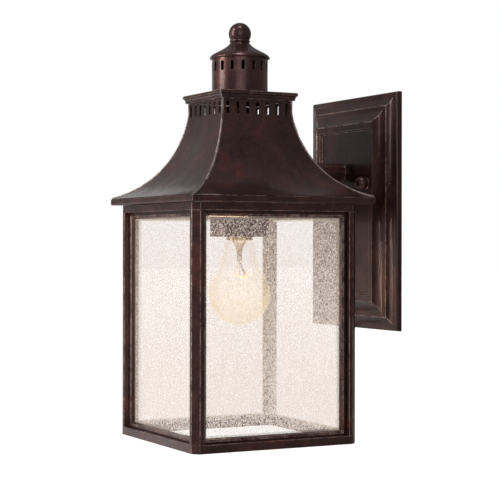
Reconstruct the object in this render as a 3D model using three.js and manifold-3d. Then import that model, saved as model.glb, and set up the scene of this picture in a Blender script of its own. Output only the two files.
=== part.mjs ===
// Outdoor wall lantern: a square glazed cage with an open bottom, under a flared roof with a round vent
// chimney, carried by a short round arm from a moulded backplate. Millimetres, +Z up, the wall at +Y.
// Sizes are taken from the roof's vertical axis (x = 0, y = 0) and from the cage's bottom edge (z = 0).
// The group is then moved so that its origin is the centre of the mounting strap's back, on the wall.
import * as THREE from 'three';
import { mergeVertices } from 'three/addons/utils/BufferGeometryUtils.js';
import Module from 'manifold-3d';

const wasm = await Module();
wasm.setup();

// ---- Driving dimensions ------------------------------------------------------------------------------
const GAP = 0.3; // between pieces that touch

// wall and mounting
const WALL_Y = 134;
const STRAP = { width: 110, height: 30, thickness: 2, z: 244 };
const STUD = { x: 40.3, z: 248, radius: 2.1, tipY: 111.5 };
const STUD_NUT = { acrossFlats: 7.9, height: 3.1 };
const BALL_NUT = { radius: 6.5, foot: 4.6, footLength: 1 };
const BOX_SLOT = { x: 39, z: 236, length: 20, height: 5.6 };
const GROUND_SCREW = { x: 14, z: 236, radius: 2.1, headRadius: 4, headHeight: 2.4 };

// backplate, as [inset from the outer edge, rise from the edge's front] points of its moulding
const PLATE = { halfWidth: 81.4, halfHeight: 115.6, z: 220, edge: 3.3, wall: 1.6, foot: 4 };
const MOULDING = { lip: [2, 2.6], arris: [13, 7], crest: [27.5, 14] };
const MOULDING_PULL = { lip: [0, 2.6], outerCove: [8.9, 3.3], innerCove: [22.4, 7.9] };
const PLATE_RIM = { step: 0.8, width: 6.5, recess: 3, draft: 0.6 };

// arm
const ARM = { radius: 9.6, bore: 7.8, z: 259.6, startY: 47, endY: 115.9 };
const ARM_PLUG = { length: 9 };
const ARM_SPACER = { radius: 7 };
const NIPPLE = { radius: 5, bore: 3.6, reach: 4.2 };
const PIPE_NUT = { acrossFlats: 15, height: 4, thinHeight: 3.5 };

// cage
const CAGE = { half: 85.7, height: 226, shiftY: -3.2, chamfer: 6, post: 10, thickness: 5 };
const RAIL = { bottomHeight: 8, topHeight: 7.3 };
const GLASS_FRAME = { half: 75, bottom: 4, top: 222, thickness: 4 };
const GLASS_OPENING = { half: 71.2, bottom: 11.7, top: 213.7, bevel: 1.3 };
const PANE = { half: 72.8, bottom: 9.5, top: 216.5, thickness: 3 };
const TAB = { x: 45, width: 12, thickness: 1, grip: 5 };

// roof
const EAVE = { half: 95.25, bottom: 226.3, top: 232.4, inner: 72, wall: 1.7 };
const ROOF = { half: 94.9, bottom: 232.7, neckHalf: 37.4, neckBottom: 314, top: 325, wall: 1.5 };
const ROOF_PULL = { low: [62.5, 243.5], high: [42.6, 275] };
const NECK_SLOT = { count: 7, pitch: 10.5, width: 3.6, bottom: 311, top: 323 };
const COLLAR = { inner: 35.2, foot: 38.9, waist: [39.3, 327.6], brim: [41.1, 330.3] };
const DECK = { top: 333, underside: 331.2, hole: 5.3 };
const CHIMNEY = { radius: 27.1, wall: 1.2, bottom: 333.3, top: 368.6 };
const CHIMNEY_SLOT = { count: 16, turn: 0.11, width: 3.5, bottom: 354.4, top: 363.8 };
const CAP = { bottom: 367, inner: 27.5, lip: 28.8, brim: [29.2, 368.2], top: [9.5, 382.6], hub: 1.6 };
const CAP_CURVE = { start: [28.6, 369.6], low: [24.6, 373.4], high: [13.2, 377], wallIn: 1.1, wallDown: 0.4 };
const BALL = { radius: 10.9, z: 391.7, waist: 9.3, bottom: 382.9 };
const BALL_RING = { radius: 10.2, bottom: 383.8, top: 385.2 };

// rod, socket and bulb, all on the roof's axis
const ROD = { radius: 4.8, bottom: 225, top: 391.4 };
const BRIDGE = { half: 80, foot: 9, slope: 8, width: 20, z: 240, thickness: 2 };
const SOCKET_CUP = { radius: 28.6, bottom: 195.3, top: 226.6, wall: 1.2, shoulder: 4 };
const SOCKET = { radius: 20, bottom: 197, top: 224.4, bore: 14.8, floor: 220.6, lip: 1, shoulder: [3, 6] };
const SHELL = { wall: 0.7, below: 1, above: 5 };
const CONTACT = { from: -3, to: 7, width: 5, thickness: 0.8 };
const BULB = { radius: 30.2, bottom: 109.6, neckRadius: 14.6, neckZ: 194, glass: 0.9 };
const BULB_TUCK = { inset: 1.35, depth: 5 };
const BULB_BASE = { radius: 13.1, bottom: 192, top: 212.5, tip: 218.8, threads: 4, threadDepth: 0.8 };
const STEM = { tip: 171, radius: 2.4, flare: [10.4, 194], top: 195 };
const FILAMENT = { radius: 0.4, ring: 11, z: 155.4, hookZ: 160, stemX: 1.2, stemZ: 170.4 };

// wiring
const LEAD = { radius: 1.1, holeX: 11, holeRadius: 1.8 };
const CONNECTOR = { radius: 5.2, tip: 2.6, length: 22, socket: 8, x: 16, top: 222 };

// ---- Finishes ----------------------------------------------------------------------------------------
const finishes = {
  bronze: { color: 0x3a2723, roughness: 0.5, metalness: 0.55 },
  steel: { color: 0x9c9a94, roughness: 0.4, metalness: 0.9 },
  brass: { color: 0xb08d4c, roughness: 0.35, metalness: 0.9 },
  porcelain: { color: 0xece7db, roughness: 0.3, metalness: 0 },
  insulator: { color: 0x1c1a1a, roughness: 0.4, metalness: 0 },
  seededGlass: { color: 0xf1e6d8, roughness: 0.15, metalness: 0, transparent: true, opacity: 0.4 },
  clearGlass: { color: 0xfff6e0, roughness: 0.05, metalness: 0, transparent: true, opacity: 0.3 },
  filament: { color: 0xffc46a, roughness: 0.4, metalness: 0.6 },
  blackLead: { color: 0x1b1b1d, roughness: 0.5, metalness: 0 },
  whiteLead: { color: 0xd9d5cc, roughness: 0.5, metalness: 0 },
  greenLead: { color: 0x2e6b3a, roughness: 0.5, metalness: 0 },
  redCap: { color: 0xa8322a, roughness: 0.45, metalness: 0 },
  greenPaint: { color: 0x2f7d42, roughness: 0.4, metalness: 0.4 },
};

const lantern = new THREE.Group();

/** Adds one named piece in its own finish, optionally turned about Z, to the lantern or to a group in it. */
function addPiece(name, geometry, finish, { turn = 0, parent = lantern } = {}) {
  const mesh = new THREE.Mesh(geometry, new THREE.MeshStandardMaterial(finishes[finish]));
  mesh.name = name;
  mesh.rotation.z = turn;
  parent.add(mesh);
  return mesh;
}

// ---- Shape helpers -----------------------------------------------------------------------------------
const vectors = (points) => points.map(([x, y]) => new THREE.Vector2(x, y));

/** Turns the faces of a closed geometry outwards, and merges the vertices that they share. */
function closed(geometry) {
  geometry.deleteAttribute('normal');
  geometry.deleteAttribute('uv');
  const merged = mergeVertices(geometry, 1e-4);
  const { array } = merged.getAttribute('position');
  const index = merged.index.array;
  const kept = [];
  let volume = 0;
  const corner = (i) => new THREE.Vector3(array[3 * i], array[3 * i + 1], array[3 * i + 2]);
  for (let t = 0; t < index.length; t += 3) {
    const [a, b, c] = [index[t], index[t + 1], index[t + 2]];
    if (a === b || b === c || c === a) continue;
    kept.push(a, b, c);
    volume += corner(a).dot(corner(b).cross(corner(c)));
  }
  if (volume < 0) kept.reverse();
  merged.setIndex(kept);
  return merged;
}

/** A solid of revolution about Z from [radius, z] points that form a loop or have both ends on the axis. */
function turned(points, sides = 24) {
  const onAxis = points[0][0] === 0 && points.at(-1)[0] === 0;
  const profile = onAxis ? points : [...points, points[0]];
  return closed(new THREE.LatheGeometry(vectors(profile), sides).rotateX(Math.PI / 2));
}

/** A four-sided solid about Z from [half width, z] points, its sides square to X and Y. */
function squareTurned(points) {
  const onAxis = points[0][0] === 0 && points.at(-1)[0] === 0;
  const corners = (onAxis ? points : [...points, points[0]]).map(([half, z]) => [half * Math.SQRT2, z]);
  return closed(new THREE.LatheGeometry(vectors(corners), 4, Math.PI / 4).rotateX(Math.PI / 2));
}

/** Moves the upper half of a solid up and its lower half down, so that a square loop becomes a tall one. */
function heighten(geometry, distance) {
  const position = geometry.getAttribute('position');
  const middle = 1;
  for (let i = 0; i < position.count; i += 1) {
    const z = position.getZ(i);
    if (Math.abs(z) > middle) position.setZ(i, z + Math.sign(z) * distance);
  }
}

/** An [x, y] outline with optional holes, extruded upwards from one height to another. */
function prism(outline, bottom, top, holes = []) {
  const shape = new THREE.Shape(vectors(outline));
  for (const hole of holes) shape.holes.push(new THREE.Path(vectors(hole)));
  const geometry = new THREE.ExtrudeGeometry(shape, { depth: top - bottom, bevelEnabled: false });
  return closed(geometry.translate(0, 0, bottom));
}

/** An [x, z] outline extruded along Y from one depth to another. */
function plateAlongY(outline, nearY, farY) {
  return prism(outline.map(([x, z]) => [x, -z]), nearY, farY).rotateX(-Math.PI / 2);
}

/** A box from its lowest to its highest corner. */
function block([x0, y0, z0], [x1, y1, z1]) {
  const geometry = new THREE.BoxGeometry(x1 - x0, y1 - y0, z1 - z0);
  return closed(geometry.translate((x0 + x1) / 2, (y0 + y1) / 2, (z0 + z1) / 2));
}

/** A round bar along Z. */
const bar = (radius, bottom, top, sides = 16) =>
  turned([[0, bottom], [radius, bottom], [radius, top], [0, top]], sides);

/** A tube along Z. */
const tube = (radius, bore, bottom, top, sides = 16) =>
  turned([[bore, bottom], [radius, bottom], [radius, top], [bore, top]], sides);

/** Lays a geometry made along Z down along Y, and moves it sideways and upwards. */
const alongY = (geometry, x, z) => geometry.rotateX(-Math.PI / 2).translate(x, 0, z);

/** A regular polygon, with a flat side facing +X, by its distance across flats. */
function polygon(sides, acrossFlats) {
  const radius = acrossFlats / 2 / Math.cos(Math.PI / sides);
  return Array.from({ length: sides }, (_, i) => {
    const angle = ((i + 0.5) * 2 * Math.PI) / sides;
    return [radius * Math.cos(angle), radius * Math.sin(angle)];
  });
}

/** A hexagon nut along Z with a round bore. */
const nut = (acrossFlats, bore, bottom, top) =>
  prism(polygon(6, acrossFlats), bottom, top, [polygon(16, 2 * bore).reverse()]);

/** The straight-sided outline of a slot with round ends, lying along X. */
function slotOutline(x, z, length, height) {
  const radius = height / 2;
  const reach = length / 2 - radius;
  return Array.from({ length: 14 }, (_, i) => {
    const side = i < 7 ? 1 : -1;
    const angle = ((i % 7) / 6 - 0.5) * Math.PI;
    return [x + side * (reach + radius * Math.cos(angle)), z + side * radius * Math.sin(angle)];
  });
}

/** A round wire along a smooth curve through points. */
function wire(points, radius, sides, steps) {
  const path = new THREE.CatmullRomCurve3(points.map((p) => new THREE.Vector3(...p)), false, 'centripetal');
  const section = new THREE.Shape(vectors(polygon(sides, 2 * radius)));
  return closed(new THREE.ExtrudeGeometry(section, { steps, extrudePath: path, bevelEnabled: false }));
}

// ---- Joining and cutting -----------------------------------------------------------------------------
function toSolid(geometry) {
  const vertProperties = new Float32Array(geometry.getAttribute('position').array);
  const triVerts = new Uint32Array(geometry.index.array);
  return new wasm.Manifold(new wasm.Mesh({ numProp: 3, vertProperties, triVerts }));
}

function toGeometry(solid) {
  const { vertProperties, triVerts } = solid.getMesh();
  const geometry = new THREE.BufferGeometry();
  geometry.setAttribute('position', new THREE.BufferAttribute(new Float32Array(vertProperties), 3));
  geometry.setIndex(Array.from(triVerts));
  return geometry;
}

const cut = (geometry, tools) =>
  toGeometry(tools.reduce((solid, tool) => solid.subtract(toSolid(tool)), toSolid(geometry)));
const join = (geometries) => toGeometry(geometries.map(toSolid).reduce((whole, solid) => whole.add(solid)));
const common = (a, b) => toGeometry(toSolid(a).intersect(toSolid(b)));

// ---- Backplate and mounting --------------------------------------------------------------------------
/** A quadratic curve from one point to another, pulled towards a third. */
function bend(start, pull, end, steps) {
  const curve = new THREE.QuadraticBezierCurve(...vectors([start, pull, end]));
  return curve.getPoints(steps).map((p) => [p.x, p.y]);
}

/** The plate's front in section, as [inset, y] points: rounded lip, two coves, flat rim and sunk field. */
function plateProfile() {
  const { lip, arris, crest } = MOULDING;
  const edgeY = WALL_Y - PLATE.edge;
  const rimRise = crest[1] - PLATE_RIM.step;
  const fieldInset = crest[0] + PLATE_RIM.width;
  const front = [
    ...bend([0, 0], MOULDING_PULL.lip, lip, 2),
    ...bend(lip, MOULDING_PULL.outerCove, arris, 4).slice(1),
    ...bend(arris, MOULDING_PULL.innerCove, crest, 4).slice(1),
    [crest[0] + PLATE_RIM.step / 2, rimRise],
    [fieldInset, rimRise],
    [fieldInset + PLATE_RIM.draft, crest[1] - PLATE_RIM.recess],
  ];
  return [[0, WALL_Y], ...front.map(([inset, rise]) => [inset, edgeY - rise])];
}

function backplate() {
  const front = plateProfile();
  const back = front.slice(1).map(([inset, y]) => [inset + PLATE.wall, y + PLATE.wall]).reverse();
  back.push([PLATE.foot, WALL_Y - PLATE.wall], [PLATE.foot, WALL_Y]);
  const fieldY = front.at(-1)[1];
  const section = [
    [PLATE.halfWidth, fieldY],
    ...front.toReversed(),
    ...back.toReversed(),
    [PLATE.halfWidth, fieldY + PLATE.wall],
  ];
  const solid = squareTurned(section.map(([inset, y]) => [PLATE.halfWidth - inset, -y]));
  solid.rotateX(Math.PI / 2);
  heighten(solid, PLATE.halfHeight - PLATE.halfWidth);
  solid.translate(0, 0, PLATE.z);
  const through = (x, z, radius) => alongY(bar(radius, WALL_Y - 30, WALL_Y), x, z);
  return cut(closed(solid), [
    through(0, ARM.z, NIPPLE.radius + GAP),
    through(-STUD.x, STUD.z, STUD.radius + GAP),
    through(STUD.x, STUD.z, STUD.radius + GAP),
  ]);
}

const fieldFront = WALL_Y - PLATE.edge - MOULDING.crest[1] + PLATE_RIM.recess;
const fieldBack = fieldFront + PLATE.wall;
const strapFront = WALL_Y - STRAP.thickness;

addPiece('backplate', backplate(), 'bronze');

/** The crossbar on the wall: stud holes, a ground screw hole, and a slot each side for the box screws. */
function mountingStrap() {
  const { width, height, z } = STRAP;
  const strap = block([-width / 2, strapFront, z - height / 2], [width / 2, WALL_Y, z + height / 2]);
  const hole = (x, y, radius) => alongY(bar(radius + GAP, strapFront - 1, WALL_Y + 1), x, y);
  const slot = (x) =>
    plateAlongY(slotOutline(x, BOX_SLOT.z, BOX_SLOT.length, BOX_SLOT.height), strapFront - 1, WALL_Y + 1);
  return cut(strap, [
    hole(-STUD.x, STUD.z, STUD.radius),
    hole(STUD.x, STUD.z, STUD.radius),
    hole(GROUND_SCREW.x, GROUND_SCREW.z, GROUND_SCREW.radius),
    slot(-BOX_SLOT.x),
    slot(BOX_SLOT.x),
  ]);
}
addPiece('mounting_strap', mountingStrap(), 'steel');

/** The round cap nut, standing on z = 0: a ball on a short foot, with a blind hole deeper than the stud. */
function ballNut() {
  const { radius, foot, footLength } = BALL_NUT;
  const centre = footLength + Math.sqrt(radius ** 2 - foot ** 2);
  const hole = STUD.radius + GAP;
  const holeEnd = fieldFront - STUD.tipY;
  const dome = new THREE.Path().absarc(0, centre, radius, -Math.acos(foot / radius), Math.PI / 2);
  const arc = dome.getPoints(4).map((p) => [p.x, p.y]);
  arc[arc.length - 1][0] = 0;
  return turned([[0, holeEnd], [hole, holeEnd], [hole, 0], [foot, 0], ...arc], 16);
}

const strapFace = strapFront - GAP;
for (const [side, x] of [['left', -STUD.x], ['right', STUD.x]]) {
  const hexagon = nut(STUD_NUT.acrossFlats, STUD.radius + GAP, strapFace - STUD_NUT.height, strapFace);
  const cap = ballNut().rotateX(Math.PI / 2).translate(x, fieldFront - GAP, STUD.z);
  addPiece(`stud_${side}`, alongY(bar(STUD.radius, STUD.tipY, WALL_Y - GAP, 12), x, STUD.z), 'steel');
  addPiece(`stud_nut_${side}`, alongY(hexagon, x, STUD.z), 'steel');
  addPiece(`ball_nut_${side}`, cap, 'bronze');
}

const groundScrew = turned([
  [0, strapFace - GROUND_SCREW.headHeight],
  [GROUND_SCREW.headRadius, strapFace - GROUND_SCREW.headHeight],
  [GROUND_SCREW.headRadius, strapFace],
  [GROUND_SCREW.radius, strapFace],
  [GROUND_SCREW.radius, WALL_Y - GAP],
  [0, WALL_Y - GAP],
], 12);
addPiece('ground_screw', alongY(groundScrew, GROUND_SCREW.x, GROUND_SCREW.z), 'greenPaint');

// ---- Arm ---------------------------------------------------------------------------------------------
const plugStart = ARM.endY - ARM_PLUG.length;
const nippleHole = NIPPLE.radius + GAP;
const lockNut = nut(PIPE_NUT.acrossFlats, nippleHole, fieldBack + GAP, fieldBack + GAP + PIPE_NUT.thinHeight);
const armPieces = [
  ['arm_tube', tube(ARM.radius, ARM.bore, ARM.startY, ARM.endY, 28), 'bronze'],
  ['arm_end_plug', tube(ARM.bore - GAP, nippleHole, plugStart, ARM.endY, 20), 'steel'],
  ['arm_spacer', tube(ARM_SPACER.radius, nippleHole, ARM.endY + GAP, fieldFront - GAP, 20), 'bronze'],
  ['arm_nipple', tube(NIPPLE.radius, NIPPLE.bore, plugStart, fieldBack + NIPPLE.reach, 16), 'steel'],
  ['arm_lock_nut', lockNut, 'steel'],
];
for (const [name, geometry, finish] of armPieces) addPiece(name, alongY(geometry, 0, ARM.z), finish);

// ---- Cage --------------------------------------------------------------------------------------------
const cage = new THREE.Group();
cage.position.y = CAGE.shiftY;
lantern.add(cage);

const sides = ['front', 'right', 'back', 'left'];
const quarter = Math.PI / 2;

/** A square outline with its corners cut off at 45 degrees. */
function chamferedSquare(half, chamfer) {
  const near = half - chamfer;
  const right = [[near, -half], [half, -near], [half, near], [near, half]];
  return [...right, ...right.map(([x, y]) => [-x, -y])];
}

const square = (half) => [[-half, -half], [half, -half], [half, half], [-half, half]];
const insideCage = square(CAGE.half - CAGE.thickness).reverse();
const cageOutline = chamferedSquare(CAGE.half, CAGE.chamfer);
const topRailBottom = CAGE.height - RAIL.topHeight;
const rail = (bottom, top) => prism(cageOutline, bottom, top, [insideCage]);
addPiece('bottom_frame', rail(0, RAIL.bottomHeight), 'bronze', { parent: cage });
addPiece('top_frame', rail(topRailBottom, CAGE.height), 'bronze', { parent: cage });

/** An angle post at the front right corner, its outer corner chamfered. */
function cornerPost() {
  const { half, chamfer, post, thickness } = CAGE;
  const [near, inner, end] = [half - chamfer, half - thickness, half - post];
  const outside = [[end, -half], [near, -half], [half, -near], [half, -end]];
  const inside = [[inner, -end], [inner, -inner], [end, -inner]];
  return prism([...outside, ...inside], RAIL.bottomHeight + GAP, topRailBottom - GAP);
}
['front_right', 'back_right', 'back_left', 'front_left'].forEach((corner, i) => {
  addPiece(`corner_post_${corner}`, cornerPost(), 'bronze', { turn: i * quarter, parent: cage });
});

/** The front glass frame: a ring with a bevelled opening, and four tabs bent over the pane behind it. */
function glassFrame() {
  const { half, bottom, top, thickness } = GLASS_FRAME;
  const faceY = -CAGE.half + CAGE.thickness + GAP;
  const backY = faceY + thickness;
  const ring = block([-half, faceY, bottom], [half, backY, top]);
  const { half: openHalf, bottom: openBottom, top: openTop, bevel } = GLASS_OPENING;
  const flare = bevel / thickness;
  const reach = 1;
  const opening = squareTurned([
    [0, -reach],
    [openHalf + flare * reach, -reach],
    [openHalf - bevel - flare * reach, thickness + reach],
    [0, thickness + reach],
  ]).rotateX(-Math.PI / 2);
  heighten(opening, (openTop - openBottom) / 2 - openHalf);
  opening.translate(0, faceY, (openBottom + openTop) / 2);
  const paneBack = backY + GAP + PANE.thickness;
  const tabs = [];
  for (const x of [-TAB.x, TAB.x]) {
    for (const [edge, away] of [[PANE.bottom, -1], [PANE.top, 1]]) {
      const near = edge + away * GAP;
      const far = near + away * TAB.thickness;
      const grip = edge - away * TAB.grip;
      const [x0, x1] = [x - TAB.width / 2, x + TAB.width / 2];
      const [gripY, tipY] = [paneBack + GAP, paneBack + GAP + TAB.thickness];
      tabs.push(block([x0, backY - 1, Math.min(near, far)], [x1, tipY, Math.max(near, far)]));
      tabs.push(block([x0, gripY, Math.min(grip, far)], [x1, tipY, Math.max(grip, far)]));
    }
  }
  return join([cut(ring, [closed(opening)]), ...tabs]);
}

function pane() {
  const faceY = -CAGE.half + CAGE.thickness + GLASS_FRAME.thickness + 2 * GAP;
  return block([-PANE.half, faceY, PANE.bottom], [PANE.half, faceY + PANE.thickness, PANE.top]);
}

sides.forEach((side, i) => {
  addPiece(`glass_frame_${side}`, glassFrame(), 'bronze', { turn: i * quarter, parent: cage });
  addPiece(`glass_pane_${side}`, pane(), 'seededGlass', { turn: i * quarter, parent: cage });
});

// ---- Roof --------------------------------------------------------------------------------------------
addPiece('eave_frame', squareTurned([
  [EAVE.inner, EAVE.bottom],
  [EAVE.half, EAVE.bottom],
  [EAVE.half, EAVE.top],
  [EAVE.half - EAVE.wall, EAVE.top],
  [EAVE.half - EAVE.wall, EAVE.bottom + EAVE.wall],
  [EAVE.inner, EAVE.bottom + EAVE.wall],
]), 'bronze');

/** The roof's flare in section, as [half width, z] points from the eave to the top of the neck. */
function roofCurve(steps = 14) {
  const flare = new THREE.CubicBezierCurve(
    new THREE.Vector2(ROOF.half, ROOF.bottom),
    new THREE.Vector2(...ROOF_PULL.low),
    new THREE.Vector2(...ROOF_PULL.high),
    new THREE.Vector2(ROOF.neckHalf, ROOF.neckBottom),
  );
  return [...flare.getPoints(steps).map((p) => [p.x, p.y]), [ROOF.neckHalf, ROOF.top]];
}

/** The front roof panel: curved sheet mitred along both hips, with the row of vent slots in its neck. */
function roofPanel(extraCuts = []) {
  const outer = roofCurve();
  const inner = outer.map(([half, z], i) => {
    const [before, after] = [outer[Math.max(i - 1, 0)], outer[Math.min(i + 1, outer.length - 1)]];
    const [along, up] = [after[0] - before[0], after[1] - before[1]];
    const length = Math.hypot(along, up);
    const level = i === 0 ? z : z + (ROOF.wall * along) / length;
    return [half - (ROOF.wall * up) / length, i === outer.length - 1 ? z : level];
  });
  const footWidth = 3 * ROOF.wall;
  inner[0] = [ROOF.half - footWidth, ROOF.bottom];
  const outline = [...outer, ...inner.toReversed()].map(([half, z]) => [z, half]);
  const length = 2 * ROOF.half + 4;
  const section = new THREE.Shape(vectors(outline));
  const sheet = new THREE.ExtrudeGeometry(section, { depth: length, bevelEnabled: false });
  sheet.applyMatrix4(new THREE.Matrix4().set(
    0, 0, 1, -length / 2,
    0, -1, 0, 0,
    1, 0, 0, 0,
    0, 0, 0, 1,
  ));
  const hipGap = 0.22;
  const far = ROOF.half + 10;
  const triangle = [[0, -hipGap], [far, -far - hipGap], [-far, -far - hipGap]];
  const wedge = prism(triangle, ROOF.bottom - 5, ROOF.top + 5);
  const slots = Array.from({ length: NECK_SLOT.count }, (_, i) => {
    const x = (i - (NECK_SLOT.count - 1) / 2) * NECK_SLOT.pitch;
    const [outerY, innerY] = [-ROOF.neckHalf - 5, -ROOF.neckHalf + 7];
    const [near, far] = [x - NECK_SLOT.width / 2, x + NECK_SLOT.width / 2];
    return block([near, outerY, NECK_SLOT.bottom], [far, innerY, NECK_SLOT.top]);
  });
  return cut(common(closed(sheet), wedge), [...slots, ...extraCuts]);
}

sides.forEach((side, i) => {
  const armHole = bar(ARM.radius + GAP, 30, 80, 28).rotateX(Math.PI / 2).translate(0, 0, ARM.z);
  const panel = roofPanel(side === 'back' ? [armHole] : []);
  addPiece(`roof_panel_${side}`, panel, 'bronze', { turn: i * quarter });
});

addPiece('gallery_collar', squareTurned([
  [COLLAR.inner, ROOF.top + GAP],
  [COLLAR.foot, ROOF.top + GAP],
  COLLAR.waist,
  COLLAR.brim,
  [COLLAR.brim[0], DECK.top],
  [DECK.hole, DECK.top],
  [DECK.hole, DECK.underside],
  [COLLAR.inner, DECK.underside],
]), 'bronze');

/** The round vent chimney with its ring of slots. */
function chimneyTube() {
  const { radius, bottom, top } = CHIMNEY;
  const slots = Array.from({ length: CHIMNEY_SLOT.count }, (_, i) => {
    const half = CHIMNEY_SLOT.width / 2;
    const slot = block([radius / 2, -half, CHIMNEY_SLOT.bottom], [radius + 5, half, CHIMNEY_SLOT.top]);
    return slot.rotateZ(((i + CHIMNEY_SLOT.turn) * 2 * Math.PI) / CHIMNEY_SLOT.count);
  });
  return cut(tube(radius, radius - CHIMNEY.wall, bottom, top, 32), slots);
}
addPiece('chimney_tube', chimneyTube(), 'bronze');

/** The spun cap: a rolled brim, then an ogee of even thickness up to a flat hub bored for the rod. */
function chimneyCap() {
  const { start, low, high, wallIn, wallDown } = CAP_CURVE;
  const ogee = new THREE.CubicBezierCurve(...vectors([start, low, high, CAP.top]));
  const outside = ogee.getPoints(6).map((p) => [p.x, p.y]);
  const inside = outside.slice(0, -1).map(([radius, z]) => [radius - wallIn, z - wallDown]);
  return turned([
    [CAP.inner, CAP.bottom],
    [CAP.lip, CAP.bottom],
    CAP.brim,
    ...outside,
    [DECK.hole, CAP.top[1]],
    [DECK.hole, CAP.top[1] - CAP.hub],
    ...inside.toReversed(),
  ], 32);
}
addPiece('chimney_cap', chimneyCap(), 'bronze');

/** The ball finial on its ring, with a blind hole for the rod. */
function finialBall() {
  const hole = ROD.radius + GAP;
  const start = -Math.acos(BALL.waist / BALL.radius);
  const dome = new THREE.Path().absarc(0, BALL.z, BALL.radius, start, Math.PI / 2);
  const arc = dome.getPoints(5).map((p) => [p.x, p.y]);
  arc[arc.length - 1][0] = 0;
  return turned([
    [0, ROD.top + GAP],
    [hole, ROD.top + GAP],
    [hole, BALL.bottom],
    [BALL.waist, BALL.bottom],
    [BALL_RING.radius, BALL_RING.bottom],
    [BALL_RING.radius, BALL_RING.top],
    ...arc,
  ], 24);
}
addPiece('finial_ball', finialBall(), 'bronze');

// ---- Rod, bridge and socket --------------------------------------------------------------------------
addPiece('centre_rod', bar(ROD.radius, ROD.bottom, ROD.top, 16), 'steel');

/** The crossbar under the roof: a hat-shaped strap standing on the eave frame, bored for the rod. */
function roofBridge() {
  const foot = EAVE.bottom + EAVE.wall + GAP;
  const { half, slope, z, thickness, width } = BRIDGE;
  const shoulder = half - BRIDGE.foot;
  const footTop = foot + thickness;
  const upper = [[half, foot], [half, footTop], [shoulder, footTop], [shoulder - slope, z + thickness]];
  const under = [[shoulder - 1, foot], [shoulder - slope - 1, z]];
  const mirrored = (points) => points.map(([x, y]) => [-x, y]);
  const outline = [...upper, ...mirrored(upper.toReversed()), ...mirrored(under), ...under.toReversed()];
  return cut(plateAlongY(outline, -width / 2, width / 2), [bar(ROD.radius + GAP, z - 5, z + 5)]);
}
addPiece('roof_bridge', roofBridge(), 'steel');

/** A nut on the centre rod, between two heights. */
const rodNut = (bottom, top) => nut(PIPE_NUT.acrossFlats, ROD.radius + GAP, bottom, top);
const cupNutBottom = SOCKET_CUP.top + GAP;
addPiece('bridge_nut', rodNut(BRIDGE.z - GAP - PIPE_NUT.height, BRIDGE.z - GAP), 'steel');
addPiece('deck_nut', rodNut(DECK.underside - GAP - PIPE_NUT.height, DECK.underside - GAP), 'steel');
addPiece('cup_nut', rodNut(cupNutBottom, cupNutBottom + PIPE_NUT.thinHeight), 'steel');

/** The bell-shaped cover over the socket, with a rounded shoulder and two holes for the leads. */
function socketCup() {
  const { radius, bottom, top, wall, shoulder } = SOCKET_CUP;
  const underside = top - wall;
  const hole = ROD.radius + GAP;
  const inner = radius - wall;
  const corner = shoulder + wall;
  const leadHole = (x) => bar(LEAD.holeRadius, underside - 1, top + 1, 10).translate(x, 0, 0);
  const bell = turned([
    [hole, underside],
    ...bend([inner - shoulder, underside], [inner, underside], [inner, underside - shoulder], 2),
    [inner, bottom],
    [radius, bottom],
    ...bend([radius, top - corner], [radius, top], [radius - corner, top], 2),
    [hole, top],
  ], 24);
  return cut(bell, [leadHole(-LEAD.holeX), leadHole(LEAD.holeX)]);
}
addPiece('socket_cup', socketCup(), 'bronze');

addPiece('socket_body', turned([
  [0, SOCKET.floor],
  [SOCKET.bore, SOCKET.floor],
  [SOCKET.bore, SOCKET.bottom],
  [SOCKET.radius - SOCKET.lip, SOCKET.bottom],
  [SOCKET.radius, SOCKET.bottom + SOCKET.lip],
  [SOCKET.radius, SOCKET.top - SOCKET.shoulder[1]],
  [SOCKET.radius - SOCKET.shoulder[0], SOCKET.top],
  [0, SOCKET.top],
], 20), 'porcelain');

const shellRadius = SOCKET.bore - GAP;
const contactTop = SOCKET.floor - GAP;
const [shellBottom, shellTop] = [SOCKET.bottom + SHELL.below, SOCKET.floor - SHELL.above];
addPiece('socket_shell', tube(shellRadius, shellRadius - SHELL.wall, shellBottom, shellTop, 20), 'brass');
addPiece('socket_contact', block(
  [CONTACT.from, -CONTACT.width / 2, contactTop - CONTACT.thickness],
  [CONTACT.to, CONTACT.width / 2, contactTop]), 'brass');

// ---- Bulb --------------------------------------------------------------------------------------------
/** The envelope's outline from its bottom up to the neck, as [radius, z] points, grown by a margin. */
function bulbCurve(margin) {
  const centre = BULB.bottom + BULB.radius;
  const shoulderAngle = THREE.MathUtils.degToRad(32);
  const radius = BULB.radius + margin;
  const globe = new THREE.Path().absarc(0, centre, radius, -Math.PI / 2, shoulderAngle);
  const shoulder = [radius * Math.cos(shoulderAngle), centre + radius * Math.sin(shoulderAngle)];
  const pull = 15;
  const onward = [shoulder[0] - pull * Math.sin(shoulderAngle), shoulder[1] + pull * Math.cos(shoulderAngle)];
  const neck = [BULB.neckRadius + margin, BULB.neckZ];
  const taper = new THREE.CubicBezierCurve(...vectors([shoulder, onward, [neck[0], neck[1] - pull], neck]));
  const points = [...globe.getPoints(5), ...taper.getPoints(4).slice(1)].map((p) => [p.x, p.y]);
  points[0][0] = 0;
  return points;
}

const bulb = new THREE.Group();
lantern.add(bulb);
const glassEnd = BULB_BASE.bottom + BULB_TUCK.depth;
const tuckRadius = BULB_BASE.radius - BULB_TUCK.inset;
addPiece('bulb_envelope', turned([
  ...bulbCurve(0).slice(0, -1),
  [tuckRadius, BULB_BASE.bottom - GAP],
  [tuckRadius, glassEnd],
  [tuckRadius - BULB.glass, glassEnd],
  [tuckRadius - BULB.glass, BULB_BASE.bottom - GAP - BULB.glass],
  ...bulbCurve(-BULB.glass).slice(0, -1).toReversed(),
], 24), 'clearGlass', { parent: bulb });

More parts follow.
